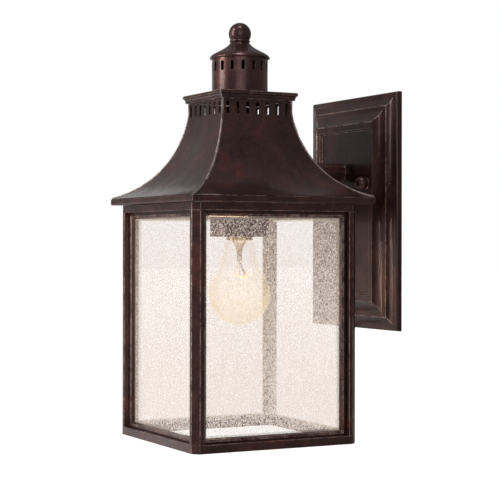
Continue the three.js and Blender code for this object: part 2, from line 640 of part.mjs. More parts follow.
/** The screw base: a thin shell with rolled thread rings, tapering to its insulator. */
function bulbBase() {
  const { radius, bottom, top, threads, threadDepth } = BULB_BASE;
  const root = radius - threadDepth;
  const [threadStart, threadEnd] = [bottom + 6, top - 2];
  const pitch = (threadEnd - threadStart) / threads;
  const rings = Array.from({ length: threads }, (_, i) => [
    [root, threadStart + i * pitch],
    [radius, threadStart + (i + 0.5) * pitch],
  ]).flat();
  return turned([
    [radius - 0.9, bottom],
    [radius - 0.3, bottom],
    ...rings,
    [root, threadEnd],
    [radius - 3, top],
    [radius - 3.8, top],
    [root - threadDepth, threadEnd - 0.4],
  ], 20);
}
addPiece('bulb_base', bulbBase(), 'brass', { parent: bulb });

const insulatorFoot = BULB_BASE.top - 3;
const insulatorTop = BULB_BASE.tip - 2.2;
addPiece('bulb_insulator', turned([
  [0, insulatorFoot],
  [8.6, insulatorFoot],
  [8.9, BULB_BASE.top],
  [8.4, BULB_BASE.top + GAP],
  [5, insulatorTop],
  [0, insulatorTop],
], 24), 'insulator', { parent: bulb });
addPiece('bulb_contact', turned([
  [0, insulatorTop + GAP],
  [4.6, insulatorTop + GAP],
  [4.2, BULB_BASE.tip - 0.7],
  [2.2, BULB_BASE.tip],
  [0, BULB_BASE.tip],
], 16), 'brass', { parent: bulb });

/** The glass stem: a thin rod that flares to meet the neck. */
const flaring = bend([STEM.radius, STEM.tip + 7], [STEM.radius, STEM.tip + 16], STEM.flare, 3);
addPiece('bulb_stem', turned([
  [0, STEM.tip],
  [STEM.radius, STEM.tip + 0.6],
  ...flaring,
  [STEM.flare[0], STEM.top],
  [0, STEM.top],
], 16), 'clearGlass', { parent: bulb });

/** The filament: two lead-in wires that spread to an arc round the bulb's axis. */
function filament() {
  const { radius, ring, z, hookZ, stemX, stemZ } = FILAMENT;
  const hook = [[stemX, 0, stemZ], [4, 0, (stemZ + hookZ) / 2 + 0.8], [ring, 0, hookZ]];
  const arc = Array.from({ length: 5 }, (_, i) => {
    const angle = ((i + 1) / 6) * Math.PI;
    return [-ring * Math.cos(angle), (ring / 2) * Math.sin(angle), z + 1 - Math.sin(angle)];
  });
  const leftHook = hook.map(([x, y, height]) => [-x, y, height]);
  return wire([...leftHook, ...arc, ...hook.toReversed()], radius, 6, 24);
}
addPiece('bulb_filament', filament(), 'filament', { parent: bulb });

// ---- Wiring ------------------------------------------------------------------------------------------
const connectorY = fieldBack + 6.2;
const leadEnd = CONNECTOR.top - 2;

/** A lead from the socket up through the roof and the arm to its connector behind the backplate. */
function lampLead(side, connectorX) {
  const x = side * 1.6;
  return wire([
    [side * LEAD.holeX, 0, SOCKET.top + GAP],
    [side * LEAD.holeX, 0.3, SOCKET_CUP.top + 3],
    [side * LEAD.holeX, 6, 234],
    [side * LEAD.holeX, 13.5, 240],
    [side * 6, 28, 254],
    [x + side * 1.5, 42, ARM.z],
    [x, 60, ARM.z],
    [x, 90, ARM.z],
    [x, fieldBack + 3, ARM.z],
    [x + side * 0.8, fieldBack + 7.2, ARM.z - 2.4],
    [side * 6, connectorY + 1.2, ARM.z - 12],
    [connectorX, connectorY, 238],
    [connectorX, connectorY, leadEnd],
  ], LEAD.radius, 8, 36);
}
addPiece('live_lead', lampLead(-1, -CONNECTOR.x), 'blackLead');
addPiece('neutral_lead', lampLead(1, CONNECTOR.x), 'whiteLead');
addPiece('ground_lead', wire([
  [GROUND_SCREW.x - 5.5, strapFace - 1.5, GROUND_SCREW.z],
  [6, strapFace - 1.6, GROUND_SCREW.z - 1],
  [1.4, connectorY + 1, 232],
  [0, connectorY, 228],
  [0, connectorY, leadEnd],
], LEAD.radius, 8, 8), 'greenLead');

/** A twist-on wire connector, its mouth up, with a blind hole for the lead. */
function connector(x) {
  const { radius, tip, length, socket, top } = CONNECTOR;
  const bore = LEAD.radius + GAP;
  const shape = turned([
    [0, -length],
    [tip, -length],
    [tip + 0.8, -length + 1],
    [radius, -2],
    [radius, 0],
    [bore, 0],
    [bore, -socket],
    [0, -socket],
  ], 16);
  return shape.translate(x, connectorY, top);
}
addPiece('live_connector', connector(-CONNECTOR.x), 'redCap');
addPiece('neutral_connector', connector(CONNECTOR.x), 'redCap');
addPiece('ground_connector', connector(0), 'greenLead');

lantern.position.set(0, -WALL_Y, -STRAP.z);

const part = new THREE.Group();
part.add(lantern);
export default part;
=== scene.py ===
"""Outdoor wall lantern: the visible surfaces around the CAD frame, in metres, in the row's frame.

The wall is the plane y = 0, the lantern hangs in front of it on the -Y side, and +Z is up.
"""
import math
import random

import bmesh
import bpy
from mathutils import Matrix, Vector


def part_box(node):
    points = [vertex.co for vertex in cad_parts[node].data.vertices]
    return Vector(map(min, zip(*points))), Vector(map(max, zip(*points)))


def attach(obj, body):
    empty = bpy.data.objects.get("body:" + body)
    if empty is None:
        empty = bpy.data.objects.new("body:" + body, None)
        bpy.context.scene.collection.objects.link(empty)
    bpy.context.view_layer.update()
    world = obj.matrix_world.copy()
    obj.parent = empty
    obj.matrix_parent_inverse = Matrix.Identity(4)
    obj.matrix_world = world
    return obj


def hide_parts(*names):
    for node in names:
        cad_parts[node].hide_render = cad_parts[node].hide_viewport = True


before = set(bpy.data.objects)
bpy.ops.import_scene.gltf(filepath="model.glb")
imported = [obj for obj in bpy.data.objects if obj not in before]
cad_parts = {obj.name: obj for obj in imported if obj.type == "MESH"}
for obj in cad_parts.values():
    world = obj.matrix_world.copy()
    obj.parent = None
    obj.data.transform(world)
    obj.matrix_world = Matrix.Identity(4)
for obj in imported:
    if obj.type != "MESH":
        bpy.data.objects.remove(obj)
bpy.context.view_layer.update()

SIDES = ("front", "right", "back", "left")
SQUARE = ((-1, -1), (1, -1), (1, 1), (-1, 1))
CORNERS = ("front_right", "back_right", "back_left", "front_left")


# ---- Sizes read from the frame ----
def low(node):
    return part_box(node)[0]


def high(node):
    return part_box(node)[1]


def middle(node):
    return (low(node) + high(node)) / 2


def size(node):
    return high(node) - low(node)


def upright_size(node):
    """Bottom, top and half width of a node that stands on the vertical."""
    return low(node).z, high(node).z, size(node).x / 2


def level_size(node):
    """Front, back and half width of a node that lies along Y."""
    return low(node).y, high(node).y, size(node).x / 2


AXIS = Vector((middle("centre_rod").x, middle("centre_rod").y, 0))
CAGE = Vector((middle("bottom_frame").x, middle("bottom_frame").y, 0))
CAGE_HALF = size("bottom_frame").x / 2
CAGE_BOTTOM = low("bottom_frame").z
GAP = 0.0003  # between neighbouring CAD pieces


# ---- Camera and stage ----
def add_camera():
    """A camera 62.5 degrees round from the front, level with the middle of the cage."""
    azimuth, pitch, roll = math.radians(62.5), math.radians(0.2), math.radians(0.1)
    distance, sideways, height = 1.455, 0.0102, 0.188
    right = Vector((math.cos(azimuth), math.sin(azimuth), 0))
    away = Vector((math.sin(azimuth), -math.cos(azimuth), 0))
    forward = -away * math.cos(pitch) + Vector((0, 0, math.sin(pitch)))
    right_rolled = right * math.cos(roll) + right.cross(forward) * math.sin(roll)
    up = right_rolled.cross(forward)
    place = AXIS + away * distance + right * sideways + Vector((0, 0, CAGE_BOTTOM + height))
    data = bpy.data.cameras.new("camera")
    data.lens = 108.1
    data.sensor_width = 36
    camera = bpy.data.objects.new("camera", data)
    axes = Matrix((right_rolled, up, -forward)).transposed().to_4x4()
    camera.matrix_world = Matrix.Translation(place) @ axes
    bpy.context.scene.collection.objects.link(camera)
    bpy.context.scene.camera = camera


add_camera()


# ---- Materials ----
class Shader:
    """A node material built up by calls: each returns the new node's first output."""

    def __init__(self, name):
        self.material = bpy.data.materials.new(name)
        self.material.use_nodes = True
        self.tree = self.material.node_tree
        self.surface = self.tree.nodes["Principled BSDF"]
        coordinates = self.tree.nodes.new("ShaderNodeTexCoord")
        self.place = coordinates.outputs["Object"]

    def node(self, kind, values=None, **settings):
        made = self.tree.nodes.new(kind)
        for key, value in settings.items():
            setattr(made, key, value)
        for key, value in (values or {}).items():
            self.put(made.inputs[key], value)
        return made

    def put(self, socket, value):
        if isinstance(value, bpy.types.NodeSocket):
            self.tree.links.new(value, socket)
        else:
            socket.default_value = value

    def stretched(self, scale):
        """The object's own coordinates, scaled along each axis."""
        return self.node("ShaderNodeMapping", {"Vector": self.place, "Scale": scale}).outputs[0]

    def noise(self, scale, detail=4.0, roughness=0.55, vector=None, distortion=0.0):
        values = {"Vector": vector or self.place, "Scale": scale, "Detail": detail,
                  "Roughness": roughness, "Distortion": distortion}
        return self.node("ShaderNodeTexNoise", values).outputs["Fac"]

    def ramp(self, factor, stops):
        """A colour ramp from (position, colour) stops."""
        made = self.node("ShaderNodeValToRGB", {"Fac": factor})
        elements = made.color_ramp.elements
        while len(elements) < len(stops):
            elements.new(0.5)
        for element, (position, colour) in zip(elements, stops):
            element.position = position
            element.color = (*colour, 1)
        return made.outputs["Color"]

    def mottle(self, noise, dark, light):
        """Two colours in the clouds of a noise, given by the settings for it."""
        return self.ramp(self.noise(*noise), [(0.3, dark), (0.7, light)])

    def uneven(self, noise, least, most):
        return self.span(self.noise(*noise), 0.3, 0.7, least, most)

    def span(self, value, from_low, from_high, to_low, to_high):
        """Maps a value from one range to another, held at both ends."""
        values = {"Value": value, "From Min": from_low, "From Max": from_high,
                  "To Min": to_low, "To Max": to_high}
        return self.node("ShaderNodeMapRange", values).outputs[0]

    def maths(self, operation, first, second=0.0):
        return self.node("ShaderNodeMath", {0: first, 1: second}, operation=operation).outputs[0]

    def blend(self, factor, first, second):
        made = self.node("ShaderNodeMix", data_type="RGBA")
        for index, value in zip((0, 6, 7), (factor, first, second)):
            self.put(made.inputs[index], value)
        return made.outputs[2]

    def product(self, first, second):
        values = {0: first, 1: second}
        return self.node("ShaderNodeVectorMath", values, operation="MULTIPLY").outputs[0]

    def height(self):
        return self.node("ShaderNodeSeparateXYZ", {0: self.place}).outputs[2]

    def bump(self, height, strength, distance, normal=None):
        values = {"Height": height, "Strength": strength, "Distance": distance}
        if normal:
            values["Normal"] = normal
        return self.node("ShaderNodeBump", values).outputs[0]

    def set(self, **values):
        """Sets sockets of the Principled node, each named in lower case with underscores."""
        names = {socket.name.lower().replace(" ", "_"): socket for socket in self.surface.inputs}
        for key, value in values.items():
            self.put(names[key], value)
        return self.material


def plain(name, clouds, dark, light, rough, grain, **values):
    """A material of two cloudy colours. rough is a noise and its roughnesses, grain a noise and its bump."""
    shader = Shader(name)
    noise, strength, distance = grain
    return shader.set(base_color=shader.mottle(clouds, dark, light), roughness=shader.uneven(*rough),
                      normal=shader.bump(shader.noise(*noise), strength, distance), **values)


def bronze_parts(shader, tone=1.0):
    """The mottled dark red-brown of the bronze paint, its roughness and its fine orange-peel surface."""
    # tone scales the paint's colours: below 1 gives a darker copy that paints shade, above 1 a lighter copy
    # that paints light
    paints = ((0.36, (0.054, 0.026, 0.024)), (0.50, (0.080, 0.037, 0.033)),
              (0.60, (0.110, 0.046, 0.040)), (0.70, (0.175, 0.047, 0.038)))
    patina = shader.ramp(shader.noise(32, 7, 0.66, distortion=0.7),
                         [(stop, [tone * part for part in paint]) for stop, paint in paints])
    freckles = shader.ramp(shader.noise(640, 2, 0.6), [(0.35, (0.78, 0.78, 0.78)), (0.65, (1.2, 1.2, 1.2))])
    roughness = shader.uneven((70, 5, 0.6), 0.27, 0.44)
    dents = shader.bump(shader.noise(34, 3, 0.5), 0.35, 0.0012)
    normal = shader.bump(shader.noise(1100, 2, 0.5), 0.16, 0.0002, dents)
    return shader.product(patina, freckles), roughness, normal


def bronze(name="bronze", tone=1.0):
    """Bronze paint under a thin satin lacquer."""
    shader = Shader(name)
    colour, roughness, normal = bronze_parts(shader, tone)
    return shader.set(base_color=colour, roughness=roughness, normal=normal, metallic=0.72,
                      specular_ior_level=0.4, coat_weight=0.35, coat_roughness=0.09, coat_normal=normal)


def bronze_edge():
    """Arrises where the dark paint is rubbed through to copper, in broken stretches."""
    shader = Shader("bronze_edge")
    colour, roughness, normal = bronze_parts(shader)
    worn = shader.span(shader.noise(75, 6, 0.75, distortion=0.8), 0.42, 0.60, 0.0, 1.0)
    copper = shader.mottle((900, 3, 0.6), (0.25, 0.14, 0.11), (0.60, 0.42, 0.35))
    return shader.set(base_color=shader.blend(worn, colour, copper), roughness=roughness, normal=normal,
                      metallic=0.5)


def zinc():
    """Zinc-plated steel: cloudy grey with a faint brushed grain."""
    shader = Shader("zinc_steel")
    colour = shader.mottle((120, 5, 0.6), (0.40, 0.39, 0.36), (0.60, 0.59, 0.55))
    scratch = shader.noise(900, 2, 0.5, shader.stretched((0.15, 1, 1)))
    return shader.set(base_color=colour, roughness=shader.uneven((260, 4), 0.26, 0.46), metallic=0.95,
                      normal=shader.bump(scratch, 0.2, 0.0001))


def dark_steel():
    """Steel thread and nuts coloured near black, a painted shade for the dark inside of the chimney, with a
    dull oily sheen.
    """
    return plain("dark_steel", (160, 5, 0.6), (0.045, 0.038, 0.036), (0.10, 0.085, 0.08),
                 ((300, 4), 0.32, 0.5), ((1200, 2), 0.15, 0.0001), metallic=0.85)


def seam():
    """The rubbed, pale solder line that closes each hip."""
    shader = Shader("seam")
    grain = shader.ramp(shader.noise(420, 4, 0.7), [(0.3, (0.16, 0.11, 0.10)), (0.55, (0.42, 0.34, 0.31)),
                                                    (0.75, (0.62, 0.52, 0.48))])
    dull = shader.span(shader.noise(60, 4, 0.6), 0.30, 0.52, 0.0, 1.0)
    colour = shader.blend(dull, (0.10, 0.062, 0.056, 1), grain)
    return shader.set(base_color=colour, roughness=0.38, metallic=0.4,
                      normal=shader.bump(shader.noise(700, 3), 0.3, 0.0003))


def brass():
    return plain("brass", (180, 5, 0.6), (0.42, 0.29, 0.11), (0.66, 0.48, 0.21),
                 ((300, 4), 0.22, 0.42), ((1400, 2), 0.12, 0.0001), metallic=0.95)


def porcelain():
    return plain("porcelain", (90, 4), (0.78, 0.75, 0.68), (0.88, 0.86, 0.80),
                 ((60,), 0.14, 0.26), ((240, 3), 0.15, 0.0003), coat_weight=0.4)


def plastic(name, dark, light, roughness):
    """Moulded plastic or wire insulation with a slightly uneven colour and a fine grain."""
    return plain(name, (300, 4), dark, light,
                 ((500, 3), roughness - 0.06, roughness + 0.08), ((2600, 2), 0.15, 0.0001))


def seeded_glass():
    """Seeded glass: clear, crowded with fine bubbles, a little clearer towards the top; its cream is a
    painted glow in the emission.
    """
    shader = Shader("seeded_glass")
    bottom, top, _ = upright_size("glass_pane_front")
    clear = shader.span(shader.height(), bottom, top, 0.055, 0.13)
    grain = shader.noise(800, 2, 0.7, shader.stretched((1, 1, 0.8)), distortion=0.8)
    streaks = shader.noise(150, 3, 0.6, shader.stretched((1, 1, 0.16)))
    cover = shader.maths("SUBTRACT", grain, clear)
    painted_glow = shader.ramp(cover, [(0.36, (0.66, 0.42, 0.36)), (0.46, (0.96, 0.84, 0.76)),
                               (0.55, (1.0, 0.93, 0.86))])
    streaked_glow = shader.ramp(streaks, [(0.35, (0.95, 0.93, 0.91)), (0.65, (1.02, 1.0, 0.99))])
    # Painted glow: the emission gives the panes the light of the bulb and the white around them, though the
    # glass is no lamp
    return shader.set(base_color=(0.04, 0.037, 0.034, 1), alpha=shader.span(cover, 0.39, 0.54, 0.04, 0.84),
                      roughness=0.35, normal=shader.bump(grain, 0.3, 0.0004), specular_ior_level=0.15,
                      emission_color=shader.product(painted_glow, streaked_glow), emission_strength=0.83)


def glazing_bead():
    """The clear yellowish sealant round each pane's edge, with a faint painted glow in its emission."""
    shader = Shader("glazing_bead")
    colour = shader.mottle((150, 4), (0.50, 0.42, 0.35), (0.66, 0.58, 0.50))
    return shader.set(base_color=colour, roughness=shader.uneven((90,), 0.25, 0.45),
                      normal=shader.bump(shader.noise(500, 3), 0.3, 0.0004),
                      alpha=shader.span(shader.noise(300, 3), 0.35, 0.65, 0.28, 0.5),
                      # The emission is a painted glow; the sealant is no lamp
                      emission_color=(0.95, 0.85, 0.75, 1), emission_strength=0.16)


def bulb_glass():
    """Clear bulb glass, warm and cloudy in the lower half and tan towards its outline."""
    shader = Shader("bulb_glass")
    bottom, tall = low("bulb_envelope").z, size("bulb_envelope").z
    glow = shader.span(shader.height(), bottom + 0.22 * tall, bottom + 0.62 * tall, 1.0, 0.0)
    cloud = shader.span(shader.noise(60, 4, 0.6), 0.35, 0.65, 0.6, 1.3)
    rim = shader.node("ShaderNodeLayerWeight", {"Blend": 0.3}).outputs["Facing"]
    veil = shader.maths("MULTIPLY", shader.span(glow, 0.0, 1.0, 0.03, 0.13), cloud)
    alpha = shader.maths("ADD", veil, shader.maths("MULTIPLY", rim, 0.22))
    warm = shader.ramp(glow, [(0.0, (0.86, 0.78, 0.66)), (1.0, (1.0, 0.90, 0.56))])
    light = shader.blend(rim, warm, (0.78, 0.60, 0.30, 1))
    return shader.set(base_color=(0.2, 0.15, 0.09, 1), alpha=alpha, roughness=0.08,
                      emission_color=light, emission_strength=0.66)


def stem_glass():
    shader = Shader("stem_glass")
    cloud = shader.noise(400, 3)
    colour = shader.ramp(cloud, [(0.3, (0.42, 0.33, 0.22)), (0.7, (0.62, 0.52, 0.38))])
    return shader.set(base_color=colour, roughness=0.15, alpha=shader.span(cloud, 0.3, 0.7, 0.55, 0.8))


def filament():
    shader = Shader("filament")
    hot = shader.mottle((900, 2), (1.0, 0.50, 0.14), (1.0, 0.66, 0.26))
    return shader.set(base_color=(0.6, 0.35, 0.12, 1), roughness=0.4,
                      emission_color=hot, emission_strength=1.2)


def support_wire():
    shader = Shader("support_wire")
    colour = shader.mottle((700, 2), (0.16, 0.11, 0.06), (0.30, 0.21, 0.12))
    return shader.set(base_color=colour, metallic=0.8, roughness=0.4)


BRONZE = bronze()
# A darker copy of the bronze: painted shade on the backplate and the glazing frames
SHADED_BRONZE = bronze("plate_bronze", 0.72)
# A lighter copy of the bronze: painted light on the socket cup
LIT_BRONZE = bronze("cup_bronze", 1.3)
EDGE = bronze_edge()
ZINC = zinc()
DARK_STEEL = dark_steel()
SEAM = seam()
BRASS = brass()
PORCELAIN = porcelain()
GLASS = seeded_glass()
BEAD = glazing_bead()
BULB_GLASS = bulb_glass()
STEM_GLASS = stem_glass()
FILAMENT = filament()
WIRE = support_wire()
BLACK = plastic("black_insulation", (0.012, 0.012, 0.013), (0.03, 0.03, 0.032), 0.42)
WHITE = plastic("white_insulation", (0.62, 0.60, 0.55), (0.78, 0.76, 0.70), 0.42)
GREEN = plastic("green_insulation", (0.03, 0.17, 0.06), (0.06, 0.27, 0.10), 0.42)
RED = plastic("red_connector", (0.38, 0.035, 0.025), (0.55, 0.06, 0.045), 0.38)
GREEN_PAINT = plastic("green_screw_paint", (0.05, 0.26, 0.10), (0.10, 0.40, 0.17), 0.3)
INSULATOR = plastic("bulb_insulator", (0.010, 0.010, 0.012), (0.03, 0.03, 0.036), 0.2)


# ---- Mesh helpers ----
def bend(start, pull, end, steps=8):
    """A quadratic curve from one point to another, pulled towards a third."""
    return [tuple((1 - t) ** 2 * a + 2 * t * (1 - t) * b + t * t * c for a, b, c in zip(start, pull, end))
            for t in (i / steps for i in range(steps + 1))]


def cubic(start, first, second, end, steps):
    """A cubic curve from one point to another, pulled towards two others in turn."""
    return [tuple((1 - t) ** 3 * a + 3 * (1 - t) ** 2 * t * b + 3 * (1 - t) * t * t * c + t ** 3 * d
                  for a, b, c, d in zip(start, first, second, end))
            for t in (i / steps for i in range(steps + 1))]


def arc(centre, radius, start, end, steps):
    """Points on a circle between two angles in degrees."""
    angles = [math.radians(start + (end - start) * i / steps) for i in range(steps + 1)]
    return [(centre[0] + radius * math.cos(a), centre[1] + radius * math.sin(a)) for a in angles]


def make(name, points, faces):
    """A mesh object with merged vertices and outward normals."""
    mesh = bpy.data.meshes.new(name)
    mesh.from_pydata([tuple(p) for p in points], [], faces)
    shape = bmesh.new()
    shape.from_mesh(mesh)
    bmesh.ops.remove_doubles(shape, verts=shape.verts, dist=1e-6)
    bmesh.ops.recalc_face_normals(shape, faces=shape.faces)
    shape.to_mesh(mesh)
    shape.free()
    made = bpy.data.objects.new(name, mesh)
    bpy.context.scene.collection.objects.link(made)
    return made


def skin(name, rings, loop=False, caps=False, strips=False):
    """A surface through closed rings of points. The last ring may meet the first, or both may be closed.

    Caps close each end with one face. Strips close it with quads, where a ring is a row and a row back.
    """
    count, last = len(rings[0]), (len(rings) - 1) * len(rings[0])
    faces = []
    for k in range(len(rings) if loop else len(rings) - 1):
        here, there = k * count, (k + 1) % len(rings) * count
        for i in range(count):
            j = (i + 1) % count
            faces.append((here + i, here + j, there + j, there + i))
    for start in (0, last):
        if caps:
            faces.append(tuple(range(start, start + count)))
        if strips:
            faces += [(start + i, start + i + 1, start + count - 2 - i, start + count - 1 - i)
                      for i in range(count // 2 - 1)]
    return make(name, [p for ring in rings for p in ring], faces)


def upright(centre):
    """Places (radius, height) profiles round a vertical axis."""
    return lambda radius, along, angle: Vector((centre.x + radius * math.cos(angle),
                                                centre.y + radius * math.sin(angle), along))


def level(centre):
    """Places (radius, depth) profiles round an axis along Y."""
    return lambda radius, along, angle: Vector((centre.x + radius * math.cos(angle), along,
                                                centre.z + radius * math.sin(angle)))


UP = Vector((0, 0, 1))


def lathe(name, profile, place, segments=96, loop=False):
    """A solid of revolution from (radius, along) points that start and end on the axis, or form a loop."""
    turns = [2 * math.pi * i / segments for i in range(segments)]
    return skin(name, [[place(r, along, a) for a in turns] for r, along in profile], loop=loop)


def hexagon(name, node, bore, along_y=False):
    """A hexagon nut in a node's box, with chamfered corners and a plain bore."""
    start, end, across = (level_size if along_y else upright_size)(node)
    place = (level if along_y else upright)(middle(node))
    segments, chamfer = 72, math.tan(math.radians(30))
    rings = []
    for radius, along, sense in (("hex", start, 1), ("round", start, 0), ("bore", start, 0),
                                 ("bore", end, 0), ("round", end, 0), ("hex", end, -1)):
        ring = []
        for i in range(segments):
            angle = 2 * math.pi * i / segments
            rim = across / math.cos((angle + math.pi / 6) % (math.pi / 3) - math.pi / 6)
            reach = {"hex": rim, "round": across * 0.96, "bore": bore}[radius]
            drop = max(0.0, rim - across * 0.99) * chamfer * sense
            ring.append(place(reach, along + drop, angle))
        rings.append(ring)
    return skin(name, rings, loop=True)


def threaded(name, radius, start, end, place, pitch, depth, segments=20):
    """A rod with a helical thread and chamfered ends."""
    samples = 4
    count = max(2, round((end - start) / pitch * samples))
    rings = [[place(0, start, 0)] * segments]
    for k in range(count + 1):
        along = start + (end - start) * k / count
        near_end = min(along - start, end - along)
        ring = []
        for i in range(segments):
            angle = 2 * math.pi * i / segments
            phase = ((along / pitch) - i / segments) % 1
            groove = abs(phase - 0.5) * 2 * depth
            taper = max(0.0, depth * 1.5 - near_end)
            ring.append(place(radius - max(groove, taper), along, angle))
        rings.append(ring)
    rings.append([place(0, end, 0)] * segments)
    return skin(name, rings)


def sweep(name, path, radius, sides):
    """A round wire along a list of points, with flat ends."""
    points = [Vector(p) for p in path]
    rings = []
    across = None
    for i, point in enumerate(points):
        along = (points[min(i + 1, len(points) - 1)] - points[max(i - 1, 0)]).normalized()
        if across is None:
            across = along.orthogonal().normalized()
        across = (across - along * across.dot(along)).normalized()
        other = along.cross(across)
        size_here = radius(i / (len(points) - 1)) if callable(radius) else radius
        turns = [2 * math.pi * k / sides for k in range(sides)]
        rings.append([point + size_here * (across * math.cos(a) + other * math.sin(a)) for a in turns])
    return skin(name, rings, caps=True)


def smooth_path(points, steps):
    """A Catmull-Rom curve through points."""
    p = [Vector(q) for q in points]
    p = [2 * p[0] - p[1], *p, 2 * p[-1] - p[-2]]
    path = []
    for i in range(1, len(p) - 2):
        for k in range(steps):
            t = k / steps
            path.append(0.5 * (2 * p[i] + (p[i + 1] - p[i - 1]) * t
                               + (2 * p[i - 1] - 5 * p[i] + 4 * p[i + 1] - p[i + 2]) * t * t
                               + (3 * p[i] - p[i - 1] - 3 * p[i + 1] + p[i + 2]) * t ** 3))
    path.append(p[-2])
    return path


def prism(name, outline, offset):
    """A closed solid between an outline of points and the same outline moved by an offset."""
    return skin(name, [outline, [p + offset for p in outline]], caps=True)


def carve(target, cutters):
    """Cuts closed solids out of a piece, and removes them."""
    for cutter in cutters:
        modifier = target.modifiers.new("cut", "BOOLEAN")
        modifier.operation = "DIFFERENCE"
        modifier.solver = "EXACT"
        modifier.object = cutter
    graph = bpy.context.evaluated_depsgraph_get()
    carved = bpy.data.meshes.new_from_object(target.evaluated_get(graph))
    target.modifiers.clear()
    target.data = carved
    for cutter in cutters:
        bpy.data.objects.remove(cutter)


def slot_cutter(centre, across, up, through, width, length, steps=8):
    """A long hole with round ends: its length runs along up, and it is cut from centre along through."""
    radius = width / 2
    reach = length / 2 - radius
    outline = arc((0, reach), radius, 0, 180, steps) + arc((0, -reach), radius, 180, 360, steps)
    return prism("cutter", [centre + across * u + up * v for u, v in outline], through)


def round_cutter(centre, radius, start, end, steps=40):
    """A cylinder along Y to cut a hole with."""
    outline = [Vector((centre.x + x, start, centre.z + z))
               for x, z in arc((0, 0), radius, 0, 360 - 360 / steps, steps - 1)]
    return prism("cutter", outline, Vector((0, end - start, 0)))


def dress(piece, materials, nodes=(), body="root", bevel=0.0, sharp=32):
    """Gives a piece its materials, soft or worn edges, its body and the CAD nodes that it stands for."""
    for material in materials:
        piece.data.materials.append(material)
    mesh = piece.data
    mesh.polygons.foreach_set("use_smooth", [True] * len(mesh.polygons))
    mesh.set_sharp_from_angle(angle=math.radians(sharp))
    if bevel:
        modifier = piece.modifiers.new("edges", "BEVEL")
        modifier.width = bevel
        modifier.segments = 2
        modifier.limit_method = "ANGLE"
        modifier.angle_limit = math.radians(sharp)
        modifier.harden_normals = True
        modifier.material = len(materials) - 1
    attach(piece, body)
    if nodes:
        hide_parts(*nodes)


WORN = (BRONZE, EDGE)


def about(centre, side):
    """Places points made for the front side, round a vertical axis, on side 0 to 3."""
    turn = Matrix.Rotation(side * math.pi / 2, 3, "Z")
    return lambda x, y, z: turn @ Vector((x, y, 0)) + Vector((centre.x, centre.y, z))


# ---- Backplate and mounting ----
PLATE_EDGE = 0.0033
PLATE_WALL = 0.0016
PLATE_FOOT = 0.004
LIP = (0.002, 0.0026)
ARRIS = (0.013, 0.007)
CREST = (0.0275, size("backplate").y - PLATE_EDGE)
RIM_STEP, RIM_WIDTH, FIELD_RECESS, FIELD_DRAFT = 0.0008, 0.0065, 0.003, 0.0006


def backplate():
    """A pressed plate: rounded lip, two coves that meet in an arris, a narrow rim and a sunk field."""
    rim_rise = CREST[1] - RIM_STEP
    field = (CREST[0] + RIM_WIDTH + FIELD_DRAFT, CREST[1] - FIELD_RECESS)
    front = [
        *bend((0, 0), (0, LIP[1]), LIP, 6),
        *bend(LIP, (0.0089, 0.0033), ARRIS, 12)[1:],
        *bend(ARRIS, (0.0224, 0.0079), CREST, 14)[1:],
        (CREST[0] + RIM_STEP / 2, rim_rise),
        (CREST[0] + RIM_WIDTH, rim_rise),
        field,
    ]
    back = [(inset + PLATE_WALL, rise - PLATE_WALL) for inset, rise in front[4:]]
    profile = [*reversed(front), (0, -PLATE_EDGE), (PLATE_FOOT, -PLATE_EDGE), (PLATE_FOOT, 0), *back]
    half, centre = size("backplate") / 2, middle("backplate")
    edge_y = high("backplate").y - PLATE_EDGE
    rings = []
    for inset, rise in profile:
        w, h = half.x - inset, half.z - inset
        rings.append([Vector((centre.x + x * w, edge_y - rise, centre.z + z * h)) for x, z in SQUARE])
    plate = skin("backplate_pressing", rings, caps=True)
    start, end = low("backplate").y - 0.01, high("backplate").y + 0.01
    carve(plate, [round_cutter(middle(node), size(node).x / 2 + GAP, start, end)
                  for node in ("arm_nipple", "stud_left", "stud_right")])
    # The plate takes the darker copy of the bronze, painted shade where the lantern shades it
    dress(plate, (SHADED_BRONZE, EDGE), ["backplate"], bevel=0.0008, sharp=24)


STRAP_CORNER, STRAP_HOLE = 0.004, 0.0024
BOX_SLOT = {"across": 0.039, "drop": 0.008, "width": 0.0056, "length": 0.020}


def mounting_strap():
    """The crossbar on the wall, with rounded corners, slots for the box screws and holes for the studs."""
    node = "mounting_strap"
    half, centre = size(node) / 2, middle(node)
    near, far = low(node).y, high(node).y
    outline = []
    for angle, x, z in ((0, 1, 1), (90, -1, 1), (180, -1, -1), (270, 1, -1)):
        corner = (x * (half.x - STRAP_CORNER), z * (half.z - STRAP_CORNER))
        outline += arc(corner, STRAP_CORNER, angle, angle + 90, 6)
    strap = prism("mounting_bar", [Vector((centre.x + x, near, centre.z + z)) for x, z in outline],
                  Vector((0, far - near, 0)))
    cutters = [round_cutter(middle(hole), STRAP_HOLE, near - 0.005, far + 0.005)
               for hole in ("stud_left", "stud_right", "ground_screw")]
    for x in (-BOX_SLOT["across"], BOX_SLOT["across"]):
        start = Vector((centre.x + x, near - 0.005, centre.z - BOX_SLOT["drop"]))
        cutters.append(slot_cutter(start, UP, Vector((1, 0, 0)), Vector((0, far - near + 0.01, 0)),
                                   BOX_SLOT["width"], BOX_SLOT["length"]))
    carve(strap, cutters)
    dress(strap, (ZINC,), [node], bevel=0.0003)


def studs():
    for side in ("left", "right"):
        stud = f"stud_{side}"
        start, end, radius = level_size(stud)
        rod = threaded(f"threaded_stud_{side}", radius, start, end, level(middle(stud)), 0.0008, 0.0003)
        dress(rod, (ZINC,), [stud])
        nut = hexagon(f"hexagon_nut_{side}", f"stud_nut_{side}", radius, along_y=True)
        dress(nut, (ZINC,), [f"stud_nut_{side}"], bevel=0.0002)
        ball_nut(f"ball_nut_{side}", side)


